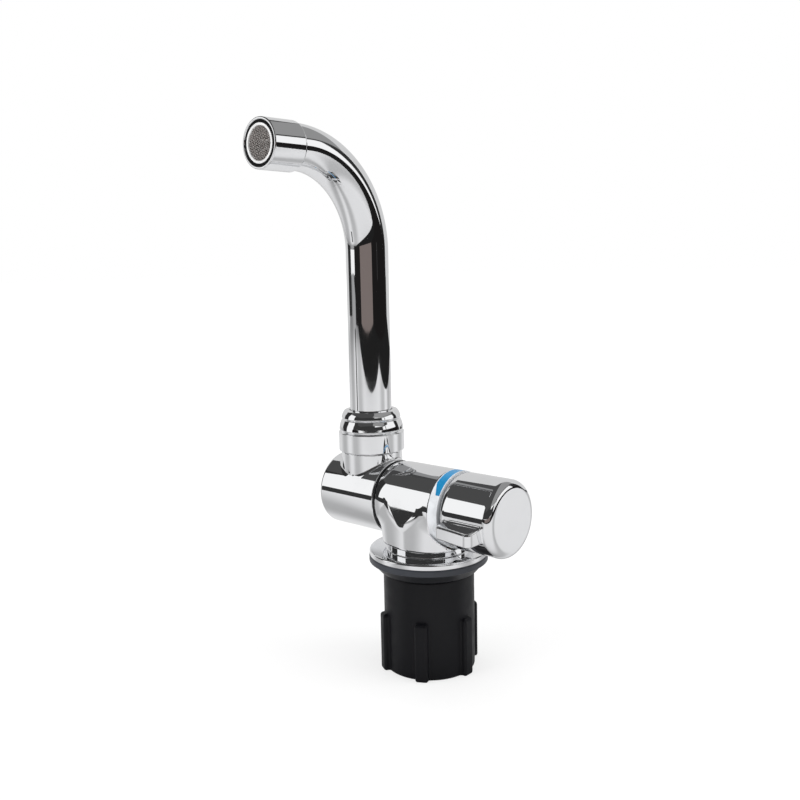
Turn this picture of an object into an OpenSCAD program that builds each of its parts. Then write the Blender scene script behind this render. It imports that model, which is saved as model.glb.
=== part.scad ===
// Folding caravan tap: a cold-water pillar tap whose spout swivels on its elbow and folds down
// over the sink, with a quarter-turn ceramic valve in a horizontal barrel.
// Origin: centre of the worktop hole, on the worktop surface. +Z up, +X towards the knob,
// -Y towards the front, where the outlet points. Millimetres.

/* [Spout] */
// Height of the outlet's axis above the worktop
outlet_h = 172.3; // [150:0.1:200]
// Sideways distance from the base axis to the upright of the spout
spout_offset = 31.5; // [30.5:0.1:36]
// Outside diameter of the spout tube
tube_d = 18; // [17:0.1:18.4]
// Wall thickness of the spout tube
tube_wall = 1.2; // [0.8:0.1:1.6]
// Centre-line radius of the bend at the top
bend_r = 39.7; // [30:0.1:42]
// Straight run from the end of the bend to the outlet face
lead_out = 17; // [16.6:0.1:24]

/* [Aerator] */
// Outside diameter of the aerator housing
cap_d = 19.5; // [19.3:0.1:21]
// Length of the aerator housing
cap_l = 16; // [13:0.5:16]
// Visible width of the chrome rim at the outlet
cap_rim = 1.2; // [1.1:0.1:1.6]
// Width of the black rubber ring at the outlet
outlet_seal_w = 1.15; // [0.8:0.05:1.5]
// Width of the pale insert ring round the screen
insert_w = 0.9; // [0.7:0.05:1.4]

/* [Collar and elbow] */
// Outside diameter of the collar nut's skirt
collar_d = 28.4; // [27.6:0.1:31]
// Height of the collar nut's lower edge above the worktop
collar_z = 47; // [46:0.1:52]
// Outside diameter of the elbow's upright neck
neck_d = 26.4; // [25.6:0.1:27.4]
// Distance from the spout's axis to the closed end of the elbow
elbow_end = 17.3; // [16.4:0.1:20]

/* [Barrel] */
// Outside diameter of the horizontal barrel
barrel_d = 31.8; // [31:0.1:33]
// Height of the barrel's axis above the worktop
barrel_h = 27.8; // [27.4:0.1:31]
// Distance from the base axis to the body's face at the folding joint
split_x = 16.7; // [16:0.1:17]
// Distance from the base axis to the body's shoulder at the index ring
shoulder_x = 13; // [12.6:0.1:14]
// Largest diameter of the round post under the barrel
post_d = 39.8; // [38:0.1:41]
// Height of the post's widest place above the worktop
belly_z = 19; // [16:0.5:22]
// Radius of the cheeks that lead from the barrel down to the post
cheek_r = 30; // [26:0.5:36]
// Angle above level at which a cheek leaves the barrel
cheek_angle = 40; // [34:1:46]

/* [Index ring] */
// Width of the white index ring
index_w = 4.6; // [4.2:0.1:5.2]
// Half angle of the blue cold-water mark, from straight up
mark_angle = 58; // [40:1:65]

/* [Knob] */
// Width of the groove between the index ring and the knob
knob_gap = 0.9; // [0.6:0.1:1.2]
// Diameter of the control knob
knob_d = 31.4; // [30:0.1:32.4]
// Length of the control knob along the barrel
knob_l = 24.5; // [24:0.1:28]
// Radius of the knob's rounded outer edge
knob_round = 3.5; // [2:0.1:4]
// How far the finger lever stands out from the knob's axis
lever_reach = 24.4; // [21.5:0.1:30]
// Thickness of the finger lever, whose top is level with the knob's axis
lever_t = 6.4; // [4:0.1:8]
// Width of the finger lever along the knob
lever_w = 18.6; // [14:0.1:19]
// Slope of the finger lever's top, down from the drum
lever_fall = 9; // [6:1:12]

/* [Base] */
// Diameter of the base flange
flange_d = 49.6; // [48:0.1:52]
// Thickness of the base flange
flange_t = 2.5; // [2.2:0.1:2.8]
// Radius of the flange's rounded top edge
flange_round = 1.3; // [0.8:0.1:1.6]
// Diameter of the short shadow-gap hub between flange and foot
hub_d = 34.6; // [33.6:0.1:35.4]
// Diameter of the gasket's upper band under the flange
gasket_d = 50; // [48.6:0.1:52]
// Thickness of the gasket
gasket_t = 6.5; // [6:0.1:7]
// Thickness of the gasket's upper band
band_t = 2.6; // [2:0.1:3]
// Diameter of the gasket's tapered foot where it seats on the worktop
seat_d = 41.4; // [41:0.1:44]

/* [Fixing] */
// Diameter of the threaded shank through the worktop
shank_d = 29.9; // [28:0.1:30.2]
// Depth of the shank's end below the worktop
shank_depth = 34; // [32:0.5:38]
// Diameter of the plain upper part of the clamp nut
nut_d = 38.3; // [37.6:0.1:39.2]
// Depth of the clamp nut's lower edge below the worktop
nut_depth = 42.3; // [41:0.1:48]
// Diameter over the clamp nut's grip ribs
rib_d = 42.6; // [40.5:0.1:46]
// Width of one grip rib
rib_w = 5.4; // [3:0.1:7]
// Number of grip ribs
rib_n = 6; // [4:1:10]
// Depth below the worktop at which the ribs begin
rib_start = 17.6; // [12:0.1:24]
// Wall radius of the inlet's female thread
inlet_r = 8.3; // [7:0.1:8.6]

/* [Fits] */
// Radial clearance of a turning fit
run = 0.05; // [0.03:0.01:0.08]
// Air gap between pieces that move past each other
air = 0.3; // [0.25:0.05:0.4]

/* [Hidden] */
$fn = 96;
e = 0.01;
tube_r = tube_d / 2;
bore_r = tube_r - tube_wall;
bend_z = outlet_h - bend_r;
face_y = bend_r + lead_out;
cap_r = cap_d / 2;
seal_r = cap_r - cap_rim;
insert_r = seal_r - outlet_seal_w;
screen_r = insert_r - insert_w;
tube_end = face_y - 6.6;
barrel_r = barrel_d / 2;
washer_t = 0.6;
elbow_x = split_x + washer_t + run;
elbow_far = spout_offset + elbow_end;
neck_r = neck_d / 2;
collar_r = collar_d / 2;
collar_top = collar_z + 17.8;
flange_z = gasket_t;
flange_top = flange_z + flange_t;
foot_z = barrel_h - barrel_r - 0.3;
post_r = post_d / 2;
post_bow = 45;
cheek_y = (cheek_r - barrel_r) * cos(cheek_angle);
cheek_z = (cheek_r - barrel_r) * sin(cheek_angle);
shank_r = shank_d / 2;
nut_r = nut_d / 2;
index_x = shoulder_x + index_w;
knob_x = index_x + knob_gap;
knob_r = knob_d / 2;
knob_end = knob_x + knob_l;
lever_x = knob_x + 1.9;
lip_w = 2.2;
lever_top = barrel_h - 0.15;
stud_r = 9.95;
stud_end = elbow_far - 4.6;
stop_r = 13;
spigot_r = 11.25;
ferrule_r = 9;
ferrule_flange_r = 11.5;
spigot_top = collar_z + 11.7;
flange_seat = spigot_top + air;
slip_z = flange_seat + 2.5 + 0.1;
spindle_r = 4;
mark_in = barrel_r - 1;

// Places children so that their Z runs along the barrel, from the base axis towards the knob.
module on_barrel() {
  translate([0, 0, barrel_h]) rotate([0, 90, 0]) children();
}

// A plain rod along the barrel from x0 to x1.
module rod_x(x0, x1, r) {
  on_barrel() translate([0, 0, x0]) cylinder(r = r, h = x1 - x0);
}

// A ring along the barrel from x0 to x1.
module ring_x(x0, x1, r_out, r_in) {
  difference() {
    rod_x(x0, x1, r_out);
    rod_x(x0 - 1, x1 + 1, r_in);
  }
}

// Places children on the upright axis of the spout.
module on_spout() {
  translate([-spout_offset, 0, 0]) children();
}

// Places children so that their Z runs forward along the outlet, from the upright's plane.
module on_outlet() {
  translate([-spout_offset, 0, outlet_h]) rotate([90, 0, 0]) children();
}

// An upright ring from z0 to z1.
module ring_z(z0, z1, r_out, r_in) {
  translate([0, 0, z0]) difference() {
    cylinder(r = r_out, h = z1 - z0);
    translate([0, 0, -1]) cylinder(r = r_in, h = z1 - z0 + 2);
  }
}

// A rubber ring of round section.
module o_ring(mid_r, cord_r) {
  rotate_extrude() translate([mid_r, 0]) circle(r = cord_r, $fn = 48);
}

// Section across the barrel: its circle, and below the tangent places two flatter cheeks down to the foot.
module cheek_section() {
  circle(r = barrel_r);
  intersection() {
    translate([cheek_y, -cheek_z]) circle(r = cheek_r, $fn = 180);
    translate([-cheek_y, -cheek_z]) circle(r = cheek_r, $fn = 180);
    translate([-post_d, foot_z - barrel_h]) square([2 * post_d, barrel_h - foot_z + barrel_r * sin(cheek_angle)]);
  }
}

// The barrel's casting: a level cylinder whose cheeks run down into a round, slightly bellied post.
module body_outside() {
  on_barrel() rotate_extrude() {
    translate([0, -split_x + 1]) square([barrel_r, shoulder_x + split_x - 1]);
    translate([0, -split_x]) square([barrel_r - 1, 2]);
    translate([barrel_r - 1, -split_x + 1]) circle(r = 1, $fn = 48);
  }
  rod_x(shoulder_x - 1, index_x - 0.2, barrel_r - 2.1);
  difference() {
    intersection() {
      translate([-post_d, 0, barrel_h]) rotate([90, 0, 90]) linear_extrude(2 * post_d) cheek_section();
      rotate_extrude() intersection() {
        translate([0, foot_z]) square([post_d, barrel_h + barrel_r + 1 - foot_z]);
        translate([post_r - post_bow, belly_z]) circle(r = post_bow, $fn = 240);
      }
    }
    rod_x(shoulder_x, shoulder_x + 20, barrel_r + 0.6);
    translate([-split_x - 20, -30, 0]) cube([20 + 1, 60, 60]);
  }
}

module valve_body() {
  color("Silver") difference() {
    body_outside();
    // cartridge chamber and gland thread, from the knob's side
    rod_x(-4, 12, 11);
    rod_x(11.9, index_x + 1, 12);
    // stud thread and the way through to the spout
    rod_x(-split_x - 1, -6, 8);
    rod_x(-7, -3, 4.5);
    // socket for the shank and the inlet channel
    translate([0, 0, foot_z - 1]) cylinder(r = 12, h = 4.5);
    translate([2.5, 0, foot_z + 2]) cylinder(r = 3.5, h = 6);
    // hole for the stop pin
    translate([0, 0, barrel_h]) rotate([0, 90, 0]) rotate([0, 0, 180])
      translate([stop_r, 0, -split_x - 1]) cylinder(r = 1.2, h = 4);
  }
}

// Rounded chrome disc on the worktop, with the narrow hub that leaves a shadow gap under the foot.
module base_flange() {
  fr = flange_d / 2;
  color("Silver") rotate_extrude() difference() {
    union() {
      translate([0, flange_z]) square([fr, flange_t - flange_round]);
      translate([0, flange_z]) square([fr - flange_round, flange_t]);
      translate([fr - flange_round, flange_top - flange_round]) circle(r = flange_round, $fn = 64);
      translate([0, flange_z]) square([hub_d / 2, foot_z - flange_z]);
    }
    translate([-1, flange_z - 1]) square([shank_r + run + 1, 30]);
    translate([0, flange_z - 10]) square([fr + 5, 10]);
  }
}

// Rubber gasket: a plain band under the flange and a foot that tapers to the seat on the worktop;
// the recess inside the seat takes the nut's washer.
module base_gasket() {
  gr = gasket_d / 2;
  foot_top = gasket_t - band_t;
  color("DimGray") rotate_extrude() difference() {
    union() {
      translate([0, foot_top + 0.5]) square([gr, band_t - 0.5]);
      translate([0, foot_top]) square([gr - 0.5, band_t]);
      translate([gr - 0.5, foot_top + 0.5]) circle(r = 0.5, $fn = 48);
      polygon([[0, 0], [seat_d / 2, 0], [gr - 1.1, foot_top - 0.3], [gr - 1.1, foot_top + e], [0, foot_top + e]]);
    }
    translate([-1, -1]) square([shank_r + 1.2, gasket_t + 2]);
    translate([-1, -1]) square([nut_r + 1.6, 2.2]);
  }
}

module threaded_shank() {
  color("Goldenrod") difference() {
    union() {
      translate([0, 0, -shank_depth]) cylinder(r = shank_r, h = shank_depth + foot_z);
      translate([0, 0, foot_z - e]) cylinder(r = 11.95, h = 3.4);
    }
    translate([0, 0, -shank_depth - 1]) cylinder(r = inlet_r, h = 13);
    translate([0, 0, -shank_depth]) cylinder(r = 6, h = shank_depth + foot_z + 10);
  }
}

// Hollow stud that carries the elbow; water leaves it through cross holes under the spout.
module pivot_stud() {
  color("Goldenrod") difference() {
    union() {
      rod_x(-split_x - e, -6.2, 7.95);
      rod_x(-stud_end, -split_x, stud_r);
    }
    rod_x(-spout_offset - 5, 0, 4.5);
    translate([-spout_offset, 0, barrel_h]) {
      rotate([90, 0, 0]) translate([0, 0, -15]) cylinder(r = 3, h = 30);
      translate([0, 0, -15]) cylinder(r = 3, h = 30);
    }
    ring_x(-spout_offset + 8.3, -spout_offset + 10.7, stud_r + 1, 8.2);
    ring_x(-spout_offset - 9.7, -spout_offset - 7.3, stud_r + 1, 8.2);
    rod_x(-stud_end - 1, -spout_offset - 6, 2.5);
  }
}

module stud_seals() {
  color("Black") {
    on_barrel() translate([0, 0, -spout_offset + 9.5]) o_ring(9.06, 0.85);
    on_barrel() translate([0, 0, -spout_offset - 8.5]) o_ring(9.06, 0.85);
  }
}

// Dark slip washer in the folding joint; its edge is the fine line round the barrel.
module fold_washer() {
  color("Black") difference() {
    ring_x(-split_x - washer_t, -split_x, barrel_r - 0.5, stud_r + run);
    translate([0, 0, barrel_h]) rotate([0, 90, 0]) rotate([0, 0, 180])
      translate([stop_r, 0, -split_x - 2]) cylinder(r = 1.3, h = 4);
  }
}

module fold_stop_pin() {
  color("Gray") translate([0, 0, barrel_h]) rotate([0, 90, 0]) rotate([0, 0, 180])
    translate([stop_r, 0, -elbow_x - 2]) cylinder(r = 1.18, h = elbow_x - split_x + 4.9);
}

module stud_retainer() {
  color("Gray") ring_x(-stud_end - 1, -stud_end, 11.6, 2.6);
}

module stud_screw() {
  color("Gray") difference() {
    union() {
      rod_x(-stud_end - 2.4, -stud_end - 1, 4.4);
      rod_x(-stud_end - 1 - e, -spout_offset - 7, 2.45);
    }
    on_barrel() translate([0, 0, -stud_end - 3]) cylinder(r = 1.7, h = 1.5, $fn = 6);
  }
}

// Brass headwork sleeve: holds the discs, lets water in through two side windows.
module cartridge_body() {
  color("Goldenrod") difference() {
    union() {
      rod_x(-2.2, 6.6, 9.6);
      rod_x(6.5, 12, 10.95);
    }
    rod_x(-3, 6.5, 8.7);
    rod_x(6, 13, spindle_r + run);
    translate([1.2, -12, barrel_h - 4]) cube([4, 24, 8]);
    ring_x(8.3, 10.7, 12, 9.4);
  }
}

module cartridge_seal() {
  color("Black") on_barrel() translate([0, 0, 9.5]) o_ring(10.2, 0.78);
}

module seat_seal() {
  color("Black") ring_x(-4, -2.6, 8, 5.2);
}

// One ceramic disc with two opposed ports.
module port_disc(x0, x1, r) {
  difference() {
    rod_x(x0, x1, r);
    translate([x0 - 1, 0, barrel_h]) rotate([0, 90, 0]) for (s = [0, 180]) rotate([0, 0, s])
      translate([4, 0, 0]) cylinder(r = 2.4, h = x1 - x0 + 2);
  }
}

module fixed_disc() {
  color("WhiteSmoke") port_disc(-2.6, 0.4, 8.6);
}

module gland_nut() {
  color("Goldenrod") difference() {
    rod_x(12, index_x - 0.5, 11.95);
    rod_x(11, index_x + 1, spindle_r + air);
    on_barrel() translate([0, 0, index_x - 3]) cylinder(r = 7.5, h = 4, $fn = 6);
  }
}

// Plan outline of the cold mark: a band over the top of the ring that narrows to the knob's side at each end.
module mark_outline(grow) {
  y0 = barrel_r * sin(mark_angle - 20);
  y1 = barrel_r * sin(mark_angle);
  x0 = shoulder_x + 0.3 - grow;
  x1 = index_x - 0.3 + grow;
  xm = x0 + 0.52 * (x1 - x0);
  polygon([[x0, -y0 - grow], [xm, -y1 - grow], [x1, -y1 - grow],
           [x1, y1 + grow], [xm, y1 + grow], [x0, y0 + grow]]);
}

module mark_block(grow) {
  translate([0, 0, barrel_h + 3]) linear_extrude(barrel_r + 4) mark_outline(grow);
}

module index_ring() {
  color("White") difference() {
    ring_x(shoulder_x, index_x, barrel_r, barrel_r - 2.08);
    intersection() {
      ring_x(shoulder_x - 1, index_x + 1, barrel_r + 1, mark_in);
      mark_block(0.02);
    }
  }
}

module index_marker() {
  color("SteelBlue") intersection() {
    ring_x(shoulder_x - 1, index_x + 1, barrel_r, mark_in + 0.02);
    mark_block(0);
  }
}

// Folding elbow: barrel section, upright neck, gallery round the stud and the spout's socket.
module swivel_elbow() {
  color("Silver") difference() {
    union() {
      on_barrel() rotate_extrude() {
        translate([0, -elbow_x - (elbow_far - elbow_x) + 1]) square([barrel_r, elbow_far - elbow_x - 1]);
        translate([0, -elbow_far]) square([barrel_r - 1, 2]);
        translate([barrel_r - 1, -elbow_far + 1]) circle(r = 1, $fn = 48);
      }
      on_spout() {
        translate([0, 0, barrel_h]) cylinder(r = neck_r, h = collar_z - 0.1 - barrel_h);
        translate([0, 0, barrel_h]) cylinder(r = spigot_r, h = spigot_top - barrel_h);
      }
    }
    // running bore, gallery and the recess for the retainer
    rod_x(-elbow_far + 1, -elbow_x + 1, stud_r + run);
    rod_x(-spout_offset - 5, -spout_offset + 5, 11.5);
    rod_x(-elbow_far + 1, -stud_end + 0.1, 12.1);
    rod_x(-elbow_far - 1, -elbow_far + 1.8, 13.5);
    // socket for the spout and the way up from the gallery
    on_spout() translate([0, 0, barrel_h + 12.7]) cylinder(r = ferrule_r + run, h = 40);
    on_spout() translate([0, 0, barrel_h + 5]) cylinder(r = 6.5, h = 10);
    // slot that stops the fold at upright and at level
    translate([0, 0, barrel_h]) rotate([0, 90, 0]) translate([0, 0, -elbow_x - 2.4]) {
      rotate([0, 0, 90]) rotate_extrude(angle = 90) translate([stop_r - 1.5, 0]) square([3, 4]);
      rotate([0, 0, 90]) translate([stop_r, 0, 0]) cylinder(r = 1.5, h = 4);
      rotate([0, 0, 180]) translate([stop_r, 0, 0]) cylinder(r = 1.5, h = 4);
    }
  }
}

module elbow_cap() {
  color("Silver") rod_x(-elbow_far, -elbow_far + 1.7, 13.45);
}

// Collar nut: plain skirt, fine groove and two rounded beads stepping in to the tube.
module collar_nut() {
  color("Silver") on_spout() difference() {
    rotate_extrude() {
      translate([0, collar_z + 0.5]) square([collar_r, 7.5]);
      translate([0, collar_z]) square([collar_r - 0.5, 8.6]);
      translate([0, collar_z + 8]) square([collar_r - 0.8, 2]);
      translate([collar_r - 2.7, collar_z + 11.6]) circle(r = 2.4, $fn = 64);
      translate([0, collar_z + 9.6]) square([collar_r - 2.7, 4.4]);
      translate([collar_r - 3.6, collar_z + 15.6]) circle(r = 2.2, $fn = 64);
      translate([0, collar_z + 13.4]) square([collar_r - 3.6, 4.4]);
    }
    translate([0, 0, collar_z - 1]) cylinder(r = spigot_r + 0.03, h = spigot_top - collar_z + 1);
    translate([0, 0, spigot_top - e]) cylinder(r = ferrule_flange_r + air, h = slip_z + 0.9 - spigot_top);
    cylinder(r = tube_r + air, h = 100);
  }
}

module slip_washer() {
  color("Ivory") on_spout() ring_z(slip_z, slip_z + 0.8, ferrule_flange_r + 0.2, tube_r + air);
}

// Centre-line sweep of the spout at a given radius, from z0 up, over the bend and out to y1.
module spout_sweep(r, z0, y1) {
  on_spout() {
    translate([0, 0, z0]) cylinder(r = r, h = bend_z - z0);
    translate([0, -bend_r, bend_z]) rotate([90, 0, 90]) rotate_extrude(angle = 90)
      translate([bend_r, 0]) circle(r = r);
    translate([0, -bend_r, outlet_h]) rotate([90, 0, 0]) cylinder(r = r, h = y1 - bend_r);
  }
}

module spout_tube() {
  color("Silver") difference() {
    spout_sweep(tube_r, flange_seat + 2.5, tube_end);
    spout_sweep(bore_r, flange_seat + 1.5, tube_end + 1);
  }
}

// Brass ferrule in the foot of the tube: turns in the elbow and carries the spout's seals.
module spout_ferrule() {
  color("Goldenrod") on_spout() difference() {
    union() {
      translate([0, 0, barrel_h + 13.6]) cylinder(r = ferrule_r, h = flange_seat - barrel_h - 13.5);
      translate([0, 0, flange_seat]) cylinder(r = ferrule_flange_r, h = 2.5);
      translate([0, 0, flange_seat + 2.4]) cylinder(r = bore_r - 0.03, h = 8);
    }
    translate([0, 0, barrel_h]) cylinder(r = 6, h = 60);
    ring_z(barrel_h + 16, barrel_h + 18, ferrule_r + 1, 7.6);
    ring_z(barrel_h + 23, barrel_h + 25, ferrule_r + 1, 7.6);
  }
}

module spout_seals() {
  color("Black") on_spout() {
    translate([0, 0, barrel_h + 17]) o_ring(8.3, 0.69);
    translate([0, 0, barrel_h + 24]) o_ring(8.3, 0.69);
  }
}

// Aerator housing: a sleeve over the tube's end with a chamfered heel and a rolled rim.
module aerator_housing() {
  color("Silver") on_outlet() rotate_extrude() difference() {
    union() {
      polygon([[0, face_y - cap_l], [tube_r + 0.15, face_y - cap_l], [cap_r, face_y - cap_l + 0.9],
               [cap_r, face_y - 0.5], [0, face_y - 0.5]]);
      translate([0, face_y - 1]) square([cap_r - 0.5, 1]);
      translate([cap_r - 0.5, face_y - 0.5]) circle(r = 0.5, $fn = 48);
    }
    translate([-1, face_y - cap_l - 1]) square([tube_r + 0.02 + 1, tube_end + 0.05 - face_y + cap_l + 1]);
    translate([-1, 0]) square([seal_r + 1, face_y + 5]);
  }
}

module aerator_seal() {
  color("Black") on_outlet() ring_z(tube_end + 0.1, face_y - 0.3, seal_r - 0.03, insert_r);
}

// Pale insert: a cup with a spoked floor that breaks up the flow behind the screen.
module aerator_insert() {
  color("Gainsboro") on_outlet() difference() {
    translate([0, 0, tube_end + 0.1]) cylinder(r = insert_r - 0.02, h = face_y - 0.2 - tube_end - 0.1);
    translate([0, 0, tube_end + 1.6]) cylinder(r = screen_r, h = 10);
    for (a = [0:60:300]) rotate([0, 0, a]) translate([3.6, 0, tube_end - 1]) cylinder(r = 1.3, h = 5);
    translate([0, 0, tube_end - 1]) cylinder(r = 1.3, h = 5);
  }
}

module aerator_screen() {
  color("Gray") on_outlet() translate([0, 0, face_y - 1.2]) cylinder(r = screen_r - 0.02, h = 0.7);
}

// Plan outline of the finger lever: a tongue that widens outward, with two rounded front corners.
module lever_outline() {
  x1 = lever_x + lever_w;
  r0 = 2.6;
  r1 = 3;
  y0 = lever_reach - 2.6;
  m = (lever_reach - y0) / (lever_w - r1);
  s = sqrt(1 + m * m);
  c0 = -y0 - m * r0 + r0 * s;
  polygon([[lever_x, 0], [lever_x, c0], [lever_x + r0 - r0 * m / s, c0 - r0 / s],
           [x1 - r1, -lever_reach], [x1, -lever_reach + r1], [x1, 0]]);
  translate([lever_x + r0, c0]) circle(r = r0, $fn = 64);
  translate([x1 - r1, -lever_reach + r1]) circle(r = r1, $fn = 64);
}

// Finger lever: its top falls away from the drum and drops further towards the body.
module finger_lever() {
  difference() {
    translate([0, 0, lever_top - lever_t]) linear_extrude(lever_t) lever_outline();
    translate([lever_x, -knob_r, lever_top]) rotate([lever_fall, 0, 0])
      translate([-20, -30, 0]) cube([60, 30, 10]);
    translate([lever_x, -knob_r, lever_top]) rotate([0, 0, -18]) rotate([lever_fall + 15, 0, 0])
      translate([-20, -30, 0]) cube([60, 30, 10]);
    translate([lever_x, -lever_reach - 0.1, lever_top - lever_t + 0.8]) rotate([-45, 0, 0])
      translate([-20, -4, -6]) cube([60, 12, 6]);
  }
}

// Control knob: hollow drum with a rounded end and one level finger lever.
module control_knob() {
  color("Silver") difference() {
    union() {
      on_barrel() rotate_extrude() {
        polygon([[0, knob_x], [knob_r - 0.7, knob_x], [knob_r, knob_x + lip_w],
                 [knob_r, knob_end - knob_round], [0, knob_end - knob_round]]);
        translate([0, knob_x]) square([knob_r - knob_round, knob_l]);
        translate([knob_r - knob_round, knob_end - knob_round]) circle(r = knob_round, $fn = 96);
      }
      finger_lever();
    }
    rod_x(knob_x - 1, knob_end - 7, 13.2);
    translate([knob_x + 10, 0, barrel_h - 20]) cylinder(r = 2.05, h = 20);
  }
}

// Plastic boss pressed into the knob; it takes the spindle's end.
module knob_adapter() {
  color("WhiteSmoke") difference() {
    rod_x(knob_x + 5, knob_end - 7.02, 13.17);
    rod_x(knob_x, knob_end - 9, spindle_r + 0.02);
    translate([knob_x + 10, 0, barrel_h - 20]) cylinder(r = 2.05, h = 20);
  }
}

// Spindle with the driving plate that turns the upper ceramic disc.
module valve_spindle() {
  color("Goldenrod") difference() {
    union() {
      rod_x(3.5, 6.3, 8.2);
      rod_x(6.2, knob_end - 9.2, spindle_r);
    }
    translate([knob_x + 10, 0, barrel_h - 20]) cylinder(r = 2.1, h = 16.6);
  }
}

module moving_disc() {
  color("WhiteSmoke") port_disc(0.45, 3.45, 8.4);
}

// Headless screw in the underside of the knob.
module knob_screw() {
  color("Gray") translate([knob_x + 10, 0, barrel_h - knob_r + 1]) difference() {
    cylinder(r = 2, h = knob_r - 1 - 3.5);
    translate([0, 0, -1]) cylinder(r = 1.1, h = 3, $fn = 6);
  }
}

module nut_washer() {
  color("Gray") ring_z(-0.5, 1, nut_r - 0.2, shank_r + run);
}

// Deep clamp nut: plain above, gripped by ribs below, hollow under the thread.
module clamp_nut() {
  color("DimGray") difference() {
    union() {
      translate([0, 0, -nut_depth]) cylinder(r = nut_r, h = nut_depth - 0.55);
      intersection() {
        translate([0, 0, -nut_depth]) union() {
          cylinder(r = rib_d / 2, h = nut_depth - rib_start - (rib_d / 2 - nut_r));
          translate([0, 0, nut_depth - rib_start - (rib_d / 2 - nut_r)])
            cylinder(r1 = rib_d / 2, r2 = nut_r - 0.5, h = rib_d / 2 - nut_r + 0.5);
        }
        union() for (i = [0:rib_n - 1]) rotate([0, 0, i * 360 / rib_n])
          translate([nut_r - 2, -rib_w / 2, -nut_depth - 1]) cube([20, rib_w, nut_depth]);
      }
    }
    translate([0, 0, -nut_depth - 1]) cylinder(r = shank_r + run, h = nut_depth + 2);
    translate([0, 0, -nut_depth - 1]) cylinder(r = nut_r - 2, h = nut_depth - 21);
  }
}

valve_body();
base_flange();
base_gasket();
threaded_shank();
pivot_stud();
stud_seals();
fold_washer();
fold_stop_pin();
stud_retainer();
stud_screw();
cartridge_body();
cartridge_seal();
seat_seal();
fixed_disc();
gland_nut();
index_ring();
index_marker();
swivel_elbow();
elbow_cap();
collar_nut();
slip_washer();
spout_tube();
spout_ferrule();
spout_seals();
aerator_housing();
aerator_seal();
aerator_insert();
aerator_screen();
control_knob();
knob_adapter();
valve_spindle();
moving_disc();
knob_screw();
nut_washer();
clamp_nut();
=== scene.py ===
"""Looks of the folding caravan tap: chrome castings, spout and outlet, black clamp nut, light tent."""

import logging
import math
from collections.abc import Callable, Sequence
from dataclasses import dataclass
from enum import Enum
from typing import Any

import bpy
import numpy as np
from mathutils import Matrix, Vector


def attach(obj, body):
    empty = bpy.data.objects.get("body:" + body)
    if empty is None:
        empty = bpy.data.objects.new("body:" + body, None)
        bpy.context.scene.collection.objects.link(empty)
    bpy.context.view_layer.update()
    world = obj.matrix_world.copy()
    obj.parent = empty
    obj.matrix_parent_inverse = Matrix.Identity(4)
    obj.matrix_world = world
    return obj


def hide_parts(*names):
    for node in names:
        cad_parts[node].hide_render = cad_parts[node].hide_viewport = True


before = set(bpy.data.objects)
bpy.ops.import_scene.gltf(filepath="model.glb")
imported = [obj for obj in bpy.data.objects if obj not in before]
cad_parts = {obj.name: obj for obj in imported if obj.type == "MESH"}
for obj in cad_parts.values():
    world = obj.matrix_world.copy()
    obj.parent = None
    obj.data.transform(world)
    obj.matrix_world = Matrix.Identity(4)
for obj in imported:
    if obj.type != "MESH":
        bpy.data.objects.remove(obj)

LOG = logging.getLogger("folding_tap")
MM = 0.001
Colour = tuple[float, float, float]
DistanceField = Callable[[np.ndarray], np.ndarray]
Corner = tuple[float, float, float]
Cell = tuple[int, int, int]
CELL_CORNERS: list[Cell] = [(i, j, k) for i in (0, 1) for j in (0, 1) for k in (0, 1)]


class Body(Enum):
    """The bodies of the frame that pieces ride on."""

    BASE = "base"
    ELBOW = "elbow"
    SPOUT = "spout"
    KNOB = "knob"
    NUT = "clamp_nut"


class Axis(Enum):
    """The axes that turned pieces are built round."""

    COLUMN = "column"
    BARREL = "barrel"
    SPOUT = "spout"
    OUTLET = "outlet"


@dataclass(frozen=True)
class Layout:
    """Main places of the tap in millimetres, as in the part's source."""

    spout_x: float = -31.5
    barrel_z: float = 27.8
    outlet_z: float = 172.3
    floor_z: float = -42.3

    def placement(self, axis: Axis) -> np.ndarray:
        """Gives the matrix that carries a piece built round Z to its axis.

        Args:
            axis: The axis that the piece belongs to.

        Returns:
            A 4 x 4 matrix in millimetres.
        """
        turn = Matrix.Identity(4)
        move = Vector((0.0, 0.0, 0.0))
        if axis is Axis.BARREL:
            turn = Matrix.Rotation(math.radians(90), 4, "Y")
            move = Vector((0.0, 0.0, self.barrel_z))
        elif axis is Axis.SPOUT:
            move = Vector((self.spout_x, 0.0, 0.0))
        elif axis is Axis.OUTLET:
            turn = Matrix.Rotation(math.radians(90), 4, "X")
            move = Vector((self.spout_x, 0.0, self.outlet_z))
        return np.array(Matrix.Translation(move) @ turn)


LAYOUT = Layout()


# Surfaces


ON_AXIS = 1e-6
LEAST_ROUNDING = 0.05
SIDE_SHARE = 0.49
LEAST_LENGTH = 1e-9


@dataclass
class Skin:
    """A closed surface: points in millimetres, faces by point number and one outward normal per point."""

    points: np.ndarray
    faces: list[list[int]]
    normals: np.ndarray

    def placed(self, matrix: np.ndarray) -> "Skin":
        """Carries the surface by a matrix.

        Args:
            matrix: A turn and a move, in millimetres.

        Returns:
            The surface in its new place.
        """
        points = self.points @ matrix[:3, :3].T + matrix[:3, 3]
        return Skin(points, self.faces, self.normals @ matrix[:3, :3].T)

    def to_object(self, name: str) -> bpy.types.Object:
        """Makes a mesh object that shades with the surface's own normals.

        Args:
            name: The piece's name.

        Returns:
            The object, at the origin, with its place in its mesh.
        """
        mesh = bpy.data.meshes.new(name)
        mesh.from_pydata((self.points * MM).tolist(), [], self.faces)
        mesh.update()
        mesh.shade_smooth()
        mesh.normals_split_custom_set_from_vertices(self.normals.tolist())
        return link(bpy.data.objects.new(name, mesh))


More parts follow.
